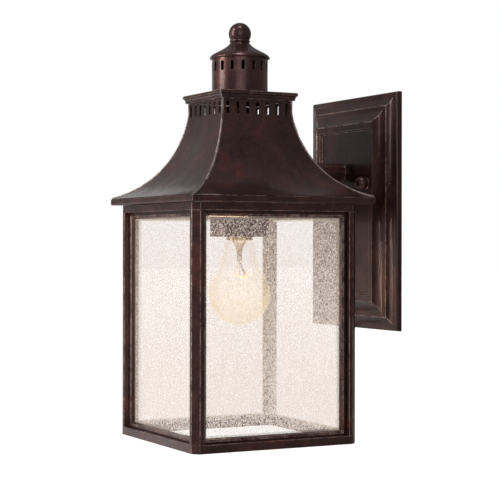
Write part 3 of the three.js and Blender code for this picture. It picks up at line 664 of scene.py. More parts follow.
def ball_nut(node, side):
    """The round cap nut that holds the backplate: a ball on a short turned foot."""
    _, base, radius = level_size(node)
    foot, foot_length = 0.0046, 0.001
    centre = base - foot_length - math.sqrt(radius ** 2 - foot ** 2)
    start = -math.degrees(math.acos(foot / radius))
    ball = [(r, centre - (along - centre)) for r, along in arc((0, centre), radius, start, 90, 28)]
    hole, depth = 0.0024, 0.008
    profile = [(0, base - depth), (hole, base - depth), (hole, base), (foot + 0.0006, base),
               (foot + 0.0008, base - 0.0005), (foot, base - foot_length), *ball]
    piece = lathe(f"cap_nut_{side}", profile, level(middle(node)), 64)
    dress(piece, WORN, [node], bevel=0.0002)


def ground_screw():
    """A green slotted screw for the ground lead."""
    node = "ground_screw"
    head, back, radius = level_size(node)
    shank, head_height = 0.0021, 0.0024
    profile = [(0, head), (radius * 0.7, head + 0.0001), (radius * 0.92, head + 0.0005),
               (radius, head + 0.0011), (radius, head + head_height), (shank, head + head_height),
               (shank, back), (0, back)]
    screw = lathe("slotted_ground_screw", profile, level(middle(node)), 40)
    centre = middle(node)
    groove = [Vector((centre.x + x * 0.005, head - 0.001, centre.z + z * 0.0005)) for x, z in SQUARE]
    carve(screw, [prism("cutter", groove, Vector((0, 0.0021, 0)))])
    dress(screw, (GREEN_PAINT,), [node], bevel=0.00015)


backplate()
mounting_strap()
studs()
ground_screw()


# ---- Arm ----
def arm_tube():
    """The round arm, with a rolled end at the plate."""
    start, end, radius = level_size("arm_tube")
    bore, roll = 0.0078, 0.0012
    profile = [(bore, start), (radius, start), (radius, end - 2.2 * roll),
               *arc((radius - roll * 0.9, end - roll), roll * 1.25, -40, 90, 8), (bore, end)]
    dress(lathe("round_arm", profile, ARM_AXIS, 72, loop=True), WORN, ["arm_tube"], bevel=0.0003)


def arm_plug():
    start, end, radius = level_size("arm_end_plug")
    ease = 0.0006
    profile = [(NIPPLE, start), (radius, start), (radius, end), (NIPPLE + ease, end), (NIPPLE, end - ease)]
    plug = lathe("arm_plug", profile, ARM_AXIS, 64, loop=True)
    dress(plug, (ZINC,), ["arm_end_plug"], bevel=0.0002)


def arm_spacer():
    start, end, radius = level_size("arm_spacer")
    profile = [(NIPPLE, start), (radius, start), (radius, end), (NIPPLE, end)]
    dress(lathe("arm_spacer_ring", profile, ARM_AXIS, 64, loop=True), WORN, ["arm_spacer"], bevel=0.0003)


def arm_nipple():
    """The hollow threaded tube that joins arm and plate, and its lock nut."""
    start, end, _ = level_size("arm_nipple")
    tube = threaded("threaded_nipple", NIPPLE, start, end, ARM_AXIS, 0.0014, 0.0005, 32)
    carve(tube, [round_cutter(middle("arm_nipple"), 0.0036, start - 0.005, end + 0.005)])
    dress(tube, (ZINC,), ["arm_nipple"], sharp=50)
    nut = hexagon("arm_locking_nut", "arm_lock_nut", NIPPLE, along_y=True)
    dress(nut, (ZINC,), ["arm_lock_nut"], bevel=0.00025)


ARM_AXIS = level(middle("arm_tube"))
NIPPLE = size("arm_nipple").x / 2
arm_tube()
arm_plug()
arm_spacer()
arm_nipple()


# ---- Cage ----
CHAMFER = 0.006
POST_WIDTH = 0.010
POST_THICKNESS = 0.005


def rail(name, node):
    """A square ring of angle section with its outer corners cut off."""
    bottom, top, _ = upright_size(node)
    near, inner = CAGE_HALF - CHAMFER, CAGE_HALF - POST_THICKNESS

    def corners(reach, out, z):
        return [about(CAGE, side)(x, -out, z) for side in range(4) for x in (-reach, reach)]

    rings = [corners(near, CAGE_HALF, bottom), corners(near, CAGE_HALF, top),
             corners(inner, inner, top), corners(inner, inner, bottom)]
    dress(skin(name, rings, loop=True), WORN, [node], bevel=0.0005)


def corner_post(side):
    """An angle post from rail to rail, its outer corner chamfered."""
    node = f"corner_post_{CORNERS[side]}"
    near, inner, end = CAGE_HALF - CHAMFER, CAGE_HALF - POST_THICKNESS, CAGE_HALF - POST_WIDTH
    outline = [(end, -CAGE_HALF), (near, -CAGE_HALF), (CAGE_HALF, -near), (CAGE_HALF, -end),
               (inner, -end), (inner, -inner), (end, -inner)]
    place = about(CAGE, side)
    bottom, top = high("bottom_frame").z, low("top_frame").z
    rings = [[place(x, y, bottom + (top - bottom) * k / 12) for x, y in outline] for k in range(13)]
    post = skin(f"angle_post_{CORNERS[side]}", rings, caps=True)
    dress(post, WORN, [node], bevel=0.0005)


FRAME_HALF = size("glass_frame_front").x / 2
FRAME_FACE = low("glass_frame_front").y - CAGE.y
FRAME_BACK = low("glass_pane_front").y - GAP - CAGE.y
OPENING_HALF = 0.0712
OPENING_BOTTOM, OPENING_TOP = CAGE_BOTTOM + 0.0117, CAGE_BOTTOM + 0.2137
OPENING_BEVEL = 0.0013


def glass_frame(side):
    """A flat ring with a bevelled opening, mitred at its corners, and four tabs bent over the pane behind."""
    node = f"glass_frame_{SIDES[side]}"
    place = about(CAGE, side)
    bottom, top, _ = upright_size(node)
    groove, lip = 0.0006, 0.0016

    def ring(half, z0, z1, y):
        return [place(x, y, z) for x, z in ((-half, z0), (half, z0), (half, z1), (-half, z1))]

    def opening(wider, y):
        return ring(OPENING_HALF + wider, OPENING_BOTTOM - wider, OPENING_TOP + wider, y)

    rings = [ring(FRAME_HALF, bottom, top, FRAME_BACK), ring(FRAME_HALF, bottom, top, FRAME_FACE),
             opening(lip, FRAME_FACE), opening(lip - groove, FRAME_FACE + groove),
             opening(0, FRAME_FACE + groove), opening(-OPENING_BEVEL, FRAME_BACK)]
    frame_ring = skin(f"glazing_frame_{SIDES[side]}", rings, loop=True)
    # The frames take the darker copy of the bronze, painted shade for their recess behind the posts
    dress(frame_ring, (SHADED_BRONZE, EDGE), [node], bevel=0.0003)
    for number in range(4):
        pane_tab(side, number)


TAB = {"across": 0.045, "width": 0.012, "thickness": 0.001, "grip": 0.0028, "bend": 0.0012}


def pane_tab(side, number):
    """One tab of a glass frame, bent over the pane's lower edge (0 and 1) or upper edge (2 and 3)."""
    place = about(CAGE, side)
    x = TAB["across"] * (1 if number % 2 else -1)
    edge, away = ((low if number < 2 else high)("glass_pane_front").z, -1 if number < 2 else 1)
    outer_y = high("glass_pane_front").y - CAGE.y + GAP + TAB["thickness"]
    start = edge + away * (GAP + TAB["thickness"])

    def face(depth):
        y, z = outer_y - depth, start - away * depth
        corner = bend((outer_y - TAB["bend"], z), (y, z), (y, start - away * TAB["bend"]), 6)
        return [(FRAME_BACK - 0.0005, z), *corner, (y, edge - away * TAB["grip"])]

    outline = face(0) + face(TAB["thickness"])[::-1]
    rings = [[place(x + half, y, z) for y, z in outline] for half in (-TAB["width"] / 2, TAB["width"] / 2)]
    dress(skin(f"pane_tab_{SIDES[side]}_{number + 1}", rings, caps=True), WORN, bevel=0.00015)


def glass_pane(side):
    """A slightly wavy sheet of glass with a bead of sealant round its edge."""
    node = f"glass_pane_{SIDES[side]}"
    place = about(CAGE, side)
    bottom, top, half = upright_size("glass_pane_front")
    overlap = OPENING_BEVEL + 0.0015
    bead = OPENING_HALF - overlap
    bead_bottom, bead_top = OPENING_BOTTOM + overlap, OPENING_TOP - overlap
    across = [-half, *[-bead + 2 * bead * i / 36 for i in range(37)], half]
    up = [bottom, *[bead_bottom + (bead_top - bead_bottom) * i / 52 for i in range(53)], top]
    wave = random.Random(side + 3)
    phases = [wave.uniform(0, 6.28) for _ in range(4)]

    def point(y, sheet, x, z):
        ripple = math.sin(x * 130 + phases[sheet]) + math.sin(z * 90 + x * 40 + phases[sheet + 2])
        inside = abs(x) < half and bottom < z < top
        return place(x, y - CAGE.y + (0.00014 * ripple if inside else 0), z)

    near_y, far_y = low("glass_pane_front").y, high("glass_pane_front").y
    rings = [[point(near_y, 0, x, z) for x in across] + [point(far_y, 1, x, z) for x in across[::-1]]
             for z in up]
    pane = skin(f"seeded_pane_{SIDES[side]}", rings, strips=True)
    dress(pane, (GLASS, BEAD), [node])
    for polygon in pane.data.polygons:
        off = polygon.center - CAGE
        clear = min(abs(off.x), abs(off.y)) < bead and bead_bottom < polygon.center.z < bead_top
        polygon.material_index = 0 if clear else 1


rail("bottom_rail", "bottom_frame")
rail("top_rail", "top_frame")
for number in range(4):
    corner_post(number)
    glass_frame(number)
    glass_pane(number)


# ---- Roof ----
ROOF_FOOT = -low("roof_panel_front").y + AXIS.y
ROOF_BOTTOM, ROOF_TOP = low("roof_panel_front").z, high("roof_panel_front").z
NECK_HALF, NECK_BOTTOM = 0.0374, ROOF_BOTTOM + 0.0813
ROOF_WALL = 0.0008
NECK_SLOT = {"count": 7, "pitch": 0.0105, "width": 0.0036, "bottom": 0.014, "top": 0.002}
CHIMNEY_SLOT = {"count": 16, "turn": 0.11, "width": 0.0035, "bottom": 0.0211, "top": 0.0305}
ROD_HOLE = 0.0053


def square_loop(name, profile):
    """A square ring of (half width, height) points round the roof's axis."""
    return skin(name, [[Vector((AXIS.x + x * half, AXIS.y + y * half, z)) for x, y in SQUARE]
                       for half, z in profile], loop=True)


def roof_outline(steps):
    """Half width and height of the roof's outer face, from the eave up through the flare to the neck."""
    flare = cubic((ROOF_FOOT, ROOF_BOTTOM), (0.0625, ROOF_BOTTOM + 0.0108), (0.0426, ROOF_BOTTOM + 0.0423),
                  (NECK_HALF, NECK_BOTTOM), steps)
    return [*flare, (NECK_HALF, NECK_BOTTOM + 0.003), (NECK_HALF, ROOF_TOP)]


def shifted(line, distance):
    """A line of points moved towards its left-hand side."""
    moved = []
    for i, (x, z) in enumerate(line):
        before, after = line[max(i - 1, 0)], line[min(i + 1, len(line) - 1)]
        run, rise = after[0] - before[0], after[1] - before[1]
        length = math.hypot(run, rise)
        moved.append((x - distance * rise / length, z + distance * run / length))
    return moved


def inward(outline, distance):
    """The roof's outline on the sheet's inner face, with both ends cut level."""
    moved = shifted(outline, distance)
    moved[0] = (outline[0][0] - 3 * distance, outline[0][1])
    moved[-1] = (moved[-1][0], outline[-1][1])
    return moved


def roof_panel(side):
    """One curved sheet of the roof, mitred at the hips, very slightly uneven, with its row of neck slots."""
    node = f"roof_panel_{SIDES[side]}"
    place = about(AXIS, side)
    outer = roof_outline(40)
    inner = inward(outer, ROOF_WALL)
    columns = 24
    wave = random.Random(side + 11)
    phases = [wave.uniform(0, 6.28) for _ in range(3)]

    def sheet(outline):
        rows = []
        for k, (half, z) in enumerate(outline):
            row = []
            for i in range(columns + 1):
                t = 2 * i / columns - 1
                calm = (1 - t * t) * math.sin(math.pi * k / (len(outline) - 1)) ** 0.5
                dent = 0.0003 * abs(calm) * (math.sin(3.1 * t + phases[0]) + math.sin(k * 0.27 + phases[1]))
                row.append(place(half * t, -half + dent, z))
            rows.append(row)
        return rows

    rings = [outside + inside[::-1] for outside, inside in zip(sheet(outer), sheet(inner))]
    panel = skin(f"roof_sheet_{SIDES[side]}", rings, strips=True)
    origin = place(0, 0, 0)
    across, through = place(1, 0, 0) - origin, place(0, 0.012, 0) - origin
    slot_bottom, slot_top = ROOF_TOP - NECK_SLOT["bottom"], ROOF_TOP - NECK_SLOT["top"]
    cutters = []
    for i in range(NECK_SLOT["count"]):
        x = (i - (NECK_SLOT["count"] - 1) / 2) * NECK_SLOT["pitch"]
        start = place(x, -NECK_HALF - 0.005, (slot_bottom + slot_top) / 2)
        cutters.append(slot_cutter(start, across, UP, through, NECK_SLOT["width"], slot_top - slot_bottom))
    if SIDES[side] == "back":
        radius = size("arm_tube").x / 2 + GAP
        cutters.append(round_cutter(middle("arm_tube"), radius, AXIS.y + 0.03, AXIS.y + 0.08, 64))
    carve(panel, cutters)
    dress(panel, WORN, [node], bevel=0.0003, sharp=28)


def hip_seam(side):
    """The soldered bead that closes the hip between two roof sheets."""
    place = about(AXIS, side)
    radius, inset = 0.0011, 0.0007
    path = [place(half - inset, -half + inset, z) for half, z in roof_outline(30)]
    uneven = random.Random(side + 5)
    lumps = [uneven.uniform(0.85, 1.15) for _ in path]
    bead = sweep(f"hip_seam_{CORNERS[side]}", path,
                 lambda t: radius * lumps[round(t * (len(path) - 1))], 10)
    dress(bead, (SEAM,))


def eave_frame():
    node = "eave_frame"
    bottom, top, half = upright_size(node)
    wall, inner = 0.0017, 0.072
    profile = [
        (inner, bottom), *bend((half - 0.0012, bottom), (half, bottom), (half, bottom + 0.0012), 4),
        *bend((half, top - 0.0008), (half, top), (half - 0.0008, top), 3),
        (half - wall, top), (half - wall, bottom + wall), (inner, bottom + wall),
    ]
    dress(square_loop("eave_fascia", profile), WORN, [node], bevel=0.0004)


def gallery_collar():
    """The square collar on the neck: a flared cove under a brim, with a deck that carries the chimney."""
    node = "gallery_collar"
    bottom, top, brim = upright_size(node)
    foot, inner, deck = 0.0389, 0.0352, 0.0018
    brim_bottom = bottom + 0.005
    cove = bend((foot + 0.0002, bottom + 0.0012), (foot + 0.0003, brim_bottom - 0.001),
                (brim, brim_bottom), 8)
    profile = [
        (inner, bottom), (foot, bottom), (foot, bottom + 0.0006), *cove, (brim, top - 0.0005),
        (brim - 0.0005, top), (ROD_HOLE, top), (ROD_HOLE, top - deck), (inner, top - deck),
    ]
    dress(square_loop("flared_collar", profile), WORN, [node], bevel=0.0004)
    for side in range(4):
        place = about(AXIS, side)
        line = [(foot, bottom), *cove, (brim - 0.0003, top - 0.0004)]
        bead = sweep(f"collar_seam_{CORNERS[side]}", [place(half, -half, z) for half, z in line], 0.0007, 10)
        dress(bead, (SEAM,))


def chimney():
    node = "chimney_tube"
    bottom, top, radius = upright_size(node)
    wall, foot = 0.0012, 0.0008
    profile = [(radius - wall, bottom), (radius + foot, bottom), (radius + foot, bottom + foot),
               (radius, bottom + 2 * foot), (radius, top), (radius - wall, top)]
    tube = lathe("vented_chimney", profile, upright(AXIS), 128, loop=True)
    slot_bottom, slot_top = bottom + CHIMNEY_SLOT["bottom"], bottom + CHIMNEY_SLOT["top"]
    cutters = []
    for i in range(CHIMNEY_SLOT["count"]):
        angle = 2 * math.pi * (i + CHIMNEY_SLOT["turn"]) / CHIMNEY_SLOT["count"]
        out = Vector((math.cos(angle), math.sin(angle), 0))
        start = AXIS + out * (radius - 0.006) + UP * (slot_bottom + slot_top) / 2
        cutters.append(slot_cutter(start, Vector((-out.y, out.x, 0)), UP, out * 0.012,
                                   CHIMNEY_SLOT["width"], slot_top - slot_bottom))
    carve(tube, cutters)
    dress(tube, WORN, [node], bevel=0.0003)


def chimney_cap():
    """A spun cap with a rolled brim and an ogee rising to the finial."""
    node = "chimney_cap"
    bottom, top, brim = upright_size(node)
    hub, roll = 0.0095, 0.0011
    ogee = cubic((brim - 0.0010, bottom + 0.0030), (0.0246, bottom + 0.0064), (0.0132, bottom + 0.010),
                 (hub, top), 32)
    under = [(r - 0.0011, z - 0.0004) for r, z in ogee[:-3]]
    profile = [(brim - 0.0017, bottom), *arc((brim - roll, bottom + roll), roll, -90, 50, 10), *ogee,
               (ROD_HOLE, top), (ROD_HOLE, top - 0.0016), *under[::-1]]
    dress(lathe("spun_cap", profile, upright(AXIS), 128, loop=True), WORN, [node], bevel=0.0003)


def finial():
    """A ball on a turned ring, with a blind hole for the centre rod."""
    node = "finial_ball"
    bottom, top, _ = upright_size(node)
    radius, waist, hole = 0.0109, 0.0093, 0.0051
    centre, ring = top - radius, size(node).x / 2 - 0.0007
    ring_low, ring_high = bottom + 0.0006, bottom + 0.0024
    ring_radius = (ring_high - ring_low) / 2
    torus = arc((ring - ring_radius, (ring_low + ring_high) / 2), ring_radius, -80, 80, 10)
    start = -math.degrees(math.acos(waist / radius))
    depth = centre - 0.0003
    profile = [(0, depth), (hole, depth), (hole, bottom), (waist - 0.0003, bottom), *torus,
               (waist - 0.0002, ring_high + 0.0004), *arc((0, centre), radius, start + 3, 90, 40)]
    dress(lathe("ball_finial", profile, upright(AXIS), 96), WORN, [node], bevel=0.00015)


eave_frame()
gallery_collar()
chimney()
chimney_cap()
finial()
for number in range(4):
    roof_panel(number)
    hip_seam(number)


# ---- Rod, bridge and socket ----
def rod_and_nuts():
    rod = "centre_rod"
    bottom, top, radius = upright_size(rod)
    piece = threaded("threaded_centre_rod", radius, bottom, top, upright(AXIS), 0.0014, 0.0005)
    dress(piece, (DARK_STEEL,), [rod], sharp=50)
    for node, place in (("bridge_nut", "under_bridge"), ("deck_nut", "under_deck"), ("cup_nut", "over_cup")):
        dress(hexagon(f"nut_{place}", node, radius), (DARK_STEEL,), [node], bevel=0.00025)


def roof_bridge():
    """A strap across the eave frame, cranked up in the middle, with a hole for the rod."""
    node = "roof_bridge"
    bottom, top, half = upright_size(node)
    thickness, foot, slope, width = 0.002, 0.009, 0.008, size(node).y
    low_z, high_z = bottom + thickness / 2, top - thickness / 2
    shoulder = half - foot
    crank = shoulder - slope
    right = [(half, low_z),
             *bend((shoulder + 0.002, low_z), (shoulder, low_z), (shoulder - 0.0015, low_z + 0.002), 6),
             *bend((crank + 0.0012, high_z - 0.0015), (crank, high_z), (crank - 0.003, high_z), 6),
             (0, high_z)]
    line = right + [(-x, z) for x, z in right[-2::-1]]
    outline = shifted(line, -thickness / 2) + shifted(line, thickness / 2)[::-1]
    place = about(AXIS, 0)
    strap = skin("bridge_strap", [[place(x, y, z) for x, z in outline] for y in (-width / 2, width / 2)],
                 caps=True)
    hole = [place(x, y, top - 0.01) for x, y in arc((0, 0), size("centre_rod").x / 2 + GAP, 0, 351, 39)]
    carve(strap, [prism("cutter", hole, UP * 0.02)])
    dress(strap, (ZINC,), [node], bevel=0.0003)


def socket_cup():
    """The bell-shaped bronze cover over the socket, with a rolled mouth."""
    node = "socket_cup"
    bottom, top, radius = upright_size(node)
    wall, corner, hole = 0.0012, 0.0052, 0.0051
    inner = radius - wall
    roll = arc((radius - wall / 2, bottom + wall / 2), wall / 2, 180, 360, 8)
    profile = [
        (hole, top - wall),
        *bend((inner - corner + wall, top - wall), (inner, top - wall), (inner, top - corner), 8),
        *roll,
        (radius, bottom + 0.004),
        *bend((radius, top - corner), (radius, top), (radius - corner, top), 10),
        (hole, top),
    ]
    bell = lathe("socket_bell", profile, upright(AXIS), 96, loop=True)
    # The cup takes the lighter copy of the bronze, painted light
    dress(bell, (LIT_BRONZE, EDGE), [node], bevel=0.0002)


def socket_body():
    """The porcelain body, with a groove round its outside."""
    node = "socket_body"
    bottom, top, radius = upright_size(node)
    bore, floor, lip, groove = 0.0148, top - 0.0038, 0.001, 0.0006
    profile = [
        (0, floor), (bore, floor), (bore, bottom + lip),
        *bend((bore, bottom + lip), (bore, bottom), (bore + lip, bottom), 4),
        *bend((radius - lip, bottom), (radius, bottom), (radius, bottom + lip), 4),
        (radius, bottom + 0.006), (radius - groove, bottom + 0.0066), (radius - groove, bottom + 0.0084),
        (radius, bottom + 0.009), (radius, top - 0.006),
        *bend((radius, top - 0.006), (radius - 0.0004, top - 0.001), (radius - 0.003, top), 6), (0, top),
    ]
    body = lathe("porcelain_socket", profile, upright(AXIS), 80)
    dress(body, (PORCELAIN,), [node], bevel=0.0002)


def socket_shell():
    """The rippled brass shell that the bulb screws into."""
    node = "socket_shell"
    bottom, top, radius = upright_size(node)
    wall, ripple, count = 0.0006, 0.0005, 36
    outer = []
    for k in range(count + 1):
        z = bottom + (top - bottom) * k / count
        outer.append((radius - ripple * (1 - math.cos(2 * math.pi * (z - bottom) / LAMP_PITCH)) / 2, z))
    profile = outer + [(r - wall, z) for r, z in outer[::-1]]
    dress(lathe("screw_shell", profile, upright(AXIS), 72, loop=True), (BRASS,), [node])


def socket_contact():
    """A springy tongue, its free end bent down towards the bulb's tip."""
    node = "socket_contact"
    start, end = low(node).x, high(node).x
    half, thickness = size(node).y / 2, size(node).z
    z = high(node).z - thickness / 2
    place = about(AXIS, 0)
    line = [(end, z), *bend((start + 0.004, z), (start + 0.001, z), (start, high(node).z - 0.0010), 8)]
    rings = [[place(x, y * half, z + up * thickness / 2) for y, up in SQUARE] for x, z in line]
    dress(skin("contact_tongue", rings, caps=True), (BRASS,), [node], bevel=0.0001)


LAMP_PITCH = 0.0036
rod_and_nuts()
roof_bridge()
socket_cup()
socket_body()
socket_shell()
socket_contact()


# ---- Bulb ----
def bulb_envelope():
    """The glass: a globe that tapers to a neck, tucked into the base."""
    node = "bulb_envelope"
    bottom, end, radius = upright_size(node)
    neck, neck_z, glass, pull = 0.0146, low("bulb_base").z - 0.0008, 0.0009, 0.015
    centre, shoulder_angle = bottom + radius, 32
    turn = math.radians(shoulder_angle)
    tuck = size("bulb_base").x / 2 - 0.00135

    def wall(margin):
        r = radius + margin
        shoulder = (r * math.cos(turn), centre + r * math.sin(turn))
        onward = (shoulder[0] - pull * math.sin(turn), shoulder[1] + pull * math.cos(turn))
        taper = cubic(shoulder, onward, (neck + margin, neck_z - pull), (neck + margin, neck_z), 24)
        return arc((0, centre), r, -90, shoulder_angle, 40) + taper[1:-1]

    profile = [*wall(0), (tuck, neck_z + 0.0005), (tuck, end), (tuck - glass, end),
               (tuck - glass, neck_z - 0.0004), *wall(-glass)[::-1]]
    profile[0] = (0, profile[0][1])
    profile[-1] = (0, profile[-1][1])
    envelope = lathe("bulb_glass_envelope", profile, upright(AXIS), 96)
    dress(envelope, (BULB_GLASS,), [node], "bulb")
    return envelope


def bulb_base():
    """The brass screw base: a thin shell with a rolled helical thread that fades at both ends."""
    node = "bulb_base"
    bottom, top, radius = upright_size(node)
    segments, count, fade_steps, clearance, depth = 64, 72, 8, 0.0003, 0.0009
    thread_start, thread_end = bottom + 0.006, top - 0.002
    place = upright(AXIS)
    turns = [i / segments for i in range(segments)]

    def ring(inset, z):
        return [place(radius - inset, z, 2 * math.pi * t) for t in turns]

    rings = [ring(0.0012, bottom), ring(clearance, bottom), ring(clearance, thread_start - 0.001)]
    for k in range(count + 1):
        z = thread_start + (thread_end - thread_start) * k / count
        swing = min(1, k / fade_steps, (count - k) / fade_steps) * depth / 2
        crest = radius - clearance - swing
        rings.append([place(crest + swing * math.cos(2 * math.pi * (z / LAMP_PITCH - t)), z, 2 * math.pi * t)
                      for t in turns])
    rings += [ring(0.0019, thread_end + 0.0012), ring(0.003, top), ring(0.0038, top),
              ring(0.0024, thread_end), ring(0.0018, thread_start)]
    dress(skin("bulb_screw_base", rings, loop=True), (BRASS,), [node], "bulb")


def bulb_insulator():
    node = "bulb_insulator"
    bottom, top, radius = upright_size(node)
    profile = [(0, bottom), (radius - 0.0003, bottom),
               *bend((radius, top - 0.0041), (radius - 0.0006, top - 0.0012), (0.005, top), 8), (0, top)]
    disc = lathe("bulb_insulator_disc", profile, upright(AXIS), 48)
    dress(disc, (INSULATOR,), [node], "bulb")


def bulb_contact():
    node = "bulb_contact"
    bottom, top, radius = upright_size(node)
    profile = [(0, bottom), (radius, bottom),
               *bend((radius, bottom + 0.0006), (radius * 0.8, top), (0, top), 10)]
    dress(lathe("bulb_tip_contact", profile, upright(AXIS), 40), (BRASS,), [node], "bulb")


def bulb_stem():
    """The glass stem that carries the filament, flared where it meets the neck."""
    node = "bulb_stem"
    tip, top, flare = upright_size(node)
    radius = 0.0024
    profile = [(0, tip), *bend((0.0008, tip), (radius, tip), (radius, tip + 0.0016), 5),
               *bend((radius, tip + 0.007), (radius, tip + 0.016), (flare, top - 0.001), 10), (flare, top),
               (0, top)]
    stem = lathe("bulb_glass_stem", profile, upright(AXIS), 40)
    dress(stem, (STEM_GLASS,), [node], "bulb")


def filament_wires():
    """A coiled filament hung in an arc from two lead-in wires, with supports fanned out from the stem."""
    node = "bulb_filament"
    wire, coil_radius, turns = 0.00014, 0.0004, 90
    ring, bottom = size(node).x / 2 - coil_radius, low(node).z + coil_radius
    hook, stem = bottom + 0.0046, low("bulb_stem").z + 0.0004
    place = about(AXIS, 0)
    hang = []
    for i in range(13):
        angle = math.pi * i / 12
        hang.append((-ring * math.cos(angle), ring / 2 * math.sin(angle),
                     hook - 0.004 * math.sin(angle) ** 0.5))
    path = smooth_path([place(*p) for p in hang], 30)
    coil = []
    for i, point in enumerate(path):
        along = (path[min(i + 1, len(path) - 1)] - path[max(i - 1, 0)]).normalized()
        across = along.cross(UP).normalized()
        angle = 2 * math.pi * turns * i / (len(path) - 1)
        coil.append(point + coil_radius * (across * math.cos(angle) + across.cross(along) * math.sin(angle)))
    dress(sweep("coiled_filament", coil, wire, 6), (FILAMENT,), [node], "bulb", sharp=80)

    def thin_wire(name, points, steps, radius, sides):
        path = smooth_path([place(*p) for p in points], steps)
        dress(sweep(name, path, radius, sides), (WIRE,), (), "bulb", sharp=80)

    for side, name in ((-1, "left"), (1, "right")):
        thin_wire(f"lead_in_wire_{name}", [(side * 0.0012, 0, stem),
                                           (side * 0.004, 0, (stem + hook) / 2 + 0.0008),
                                           (side * ring, 0, hook)], 10, 0.0003, 8)
    for i, (x, y, z) in enumerate(hang[3:-2:3]):
        middle_point = (x * 0.5, y * 0.5, (stem + z) / 2 + 0.001)
        thin_wire(f"filament_support_{i + 1}", [(0, 0, stem), middle_point, (x, y, z)], 8, 0.0002, 6)


def bulb_light(envelope):
    """The bulb's faint light, in the middle of its globe."""
    lamp = bpy.data.lights.new("bulb_light", "POINT")
    lamp.energy, lamp.color, lamp.shadow_soft_size = 0.2, (1.0, 0.80, 0.55), 0.024
    light = bpy.data.objects.new("bulb_light", lamp)
    bottom, _, radius = upright_size("bulb_envelope")
    light.location = (AXIS.x, AXIS.y, bottom + radius)
    bpy.context.scene.collection.objects.link(light)
    light.parent = envelope


globe = bulb_envelope()
bulb_base()
bulb_insulator()
bulb_contact()
bulb_stem()
filament_wires()
bulb_light(globe)


# ---- Wiring ----
LEAD_RADIUS = 0.0011


def row(points):
    """Points taken from the roof's axis and the cage's bottom, in millimetres, as row-frame vectors."""
    return [Vector((AXIS.x + x / 1000, AXIS.y + y / 1000, CAGE_BOTTOM + z / 1000)) for x, y, z in points]


def lamp_lead(name, node, side, material):
    """A lead from the socket, through the arm and down behind the plate to its connector."""
    arm_z = 259.6
    path = row([(side * x, y, z) for x, y, z in (
        (11, 0, 224.7), (11, 0.3, 229.6), (11, 6, 234), (11, 13.5, 240), (6, 28, 254), (3.1, 42, arm_z),
        (1.6, 60, arm_z), (1.6, 90, arm_z), (1.6, 124.3, arm_z), (2.4, 128.5, 257.2), (6, 128.7, 247.6),
        (16, 127.5, 238), (16, 127.5, 220))])
    dress(sweep(name, smooth_path(path, 8), LEAD_RADIUS, 16), (material,), [node], sharp=60)


def connector(name, node, material):
    """A twist-on wire connector: a ribbed cone with a bore for the wires."""
    bottom, top, radius = upright_size(node)
    tip, bore, bore_depth, ribs, rib = radius * 0.5, 0.0014, 0.008, 12, 0.0003
    place = upright(middle(node))
    segments = ribs * 6
    turns = [2 * math.pi * i / segments for i in range(segments)]
    rings = []
    for up, r in ((0.0, tip * 0.7), (0.0008, tip), (0.004, tip + 0.0008), (0.017, radius * 0.94),
                  (0.0195, radius), (0.0215, radius), (top - bottom, radius - 0.0004)):
        ribbed = rib if 0.002 < up < 0.018 else 0
        rings.append([place(r - ribbed * (0.5 + 0.5 * math.cos(ribs * turn)), bottom + up, turn)
                      for turn in turns])
    rings += [[place(bore, z, turn) for turn in turns] for z in (top, top - bore_depth)]
    dress(skin(name, rings, caps=True), (material,), [node], bevel=0.00015)


def wiring():
    lamp_lead("live_wire", "live_lead", -1, BLACK)
    lamp_lead("neutral_wire", "neutral_lead", 1, WHITE)
    ground = row([(8.5, 130.2, 236), (6, 130.1, 235), (1.4, 128.5, 232), (0, 127.5, 228), (0, 127.5, 220)])
    dress(sweep("ground_wire", smooth_path(ground, 8), LEAD_RADIUS, 16), (GREEN,), ["ground_lead"],
          sharp=60)
    connector("live_wire_connector", "live_connector", RED)
    connector("neutral_wire_connector", "neutral_connector", RED)
    connector("ground_wire_connector", "ground_connector", GREEN)


wiring()


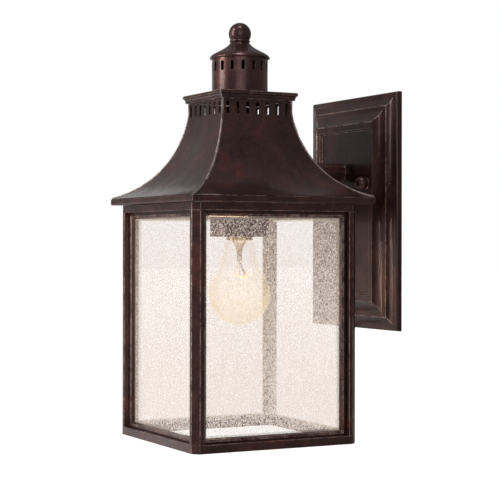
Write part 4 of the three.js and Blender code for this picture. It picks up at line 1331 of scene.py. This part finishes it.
# ---- Light and floor ----
def soft_light(name, offset, width, height, power, colour=(1, 1, 1)):
    """A rectangular light at an offset from the bulb, aimed at it."""
    data = bpy.data.lights.new(name, "AREA")
    data.shape = "RECTANGLE"
    data.size, data.size_y, data.energy, data.color = width, height, power, colour
    light = bpy.data.objects.new(name, data)
    light.location = middle("bulb_envelope") + Vector(offset)
    light.rotation_euler = (-Vector(offset)).to_track_quat("-Z", "Y").to_euler()
    bpy.context.scene.collection.objects.link(light)


def studio():
    """Six soft lights, a white background that only the camera sees in full, and a pale floor far below."""
    warm = (1.0, 0.98, 0.97)
    soft_light("key_light", (-0.6, -2.2, 0.5), 0.9, 1.5, 26, (1.0, 0.97, 0.95))
    soft_light("side_light", (-2.4, 0.4, 0.4), 2.0, 1.2, 3.8, warm)
    soft_light("top_light", (0.5, -0.3, 2.2), 0.5, 0.5, 9)
    soft_light("low_light", (-2.1, -1.1, -0.4), 0.9, 0.7, 1.6, warm)
    soft_light("front_light", (-0.5, -1.9, 1.8), 0.35, 0.35, 15, warm)
    soft_light("fill_light", (2.2, -0.9, 0.5), 1.6, 1.6, 8)

    world = bpy.data.worlds.new("studio")
    bpy.context.scene.world = world
    world.use_nodes = True
    tree = world.node_tree
    background = tree.nodes["Background"]
    seen = tree.nodes.new("ShaderNodeLightPath").outputs["Is Camera Ray"]
    strength = tree.nodes.new("ShaderNodeMapRange")
    tree.links.new(seen, strength.inputs["Value"])
    strength.inputs["To Min"].default_value = 0.22
    strength.inputs["To Max"].default_value = 1.0
    tree.links.new(strength.outputs[0], background.inputs["Strength"])
    background.inputs["Color"].default_value = (1, 1, 1, 1)

    shader = Shader("pale_floor")
    seen = shader.node("ShaderNodeLightPath").outputs["Is Camera Ray"]
    tone = shader.ramp(shader.noise(0.8, 2), [(0.3, (0.80, 0.80, 0.79)), (0.7, (0.82, 0.82, 0.81))])
    shader.set(base_color=tone, roughness=0.8, emission_color=(1, 1, 1, 1),
               emission_strength=shader.maths("MULTIPLY", seen, 0.95))
    floor_z, reach = CAGE_BOTTOM - 0.9, 60
    floor = make("floor", [(x * reach, y * reach, floor_z) for x, y in SQUARE], [(0, 1, 2, 3)])
    floor.data.materials.append(shader.material)
    bpy.context.scene.view_settings.view_transform = "Standard"


studio()
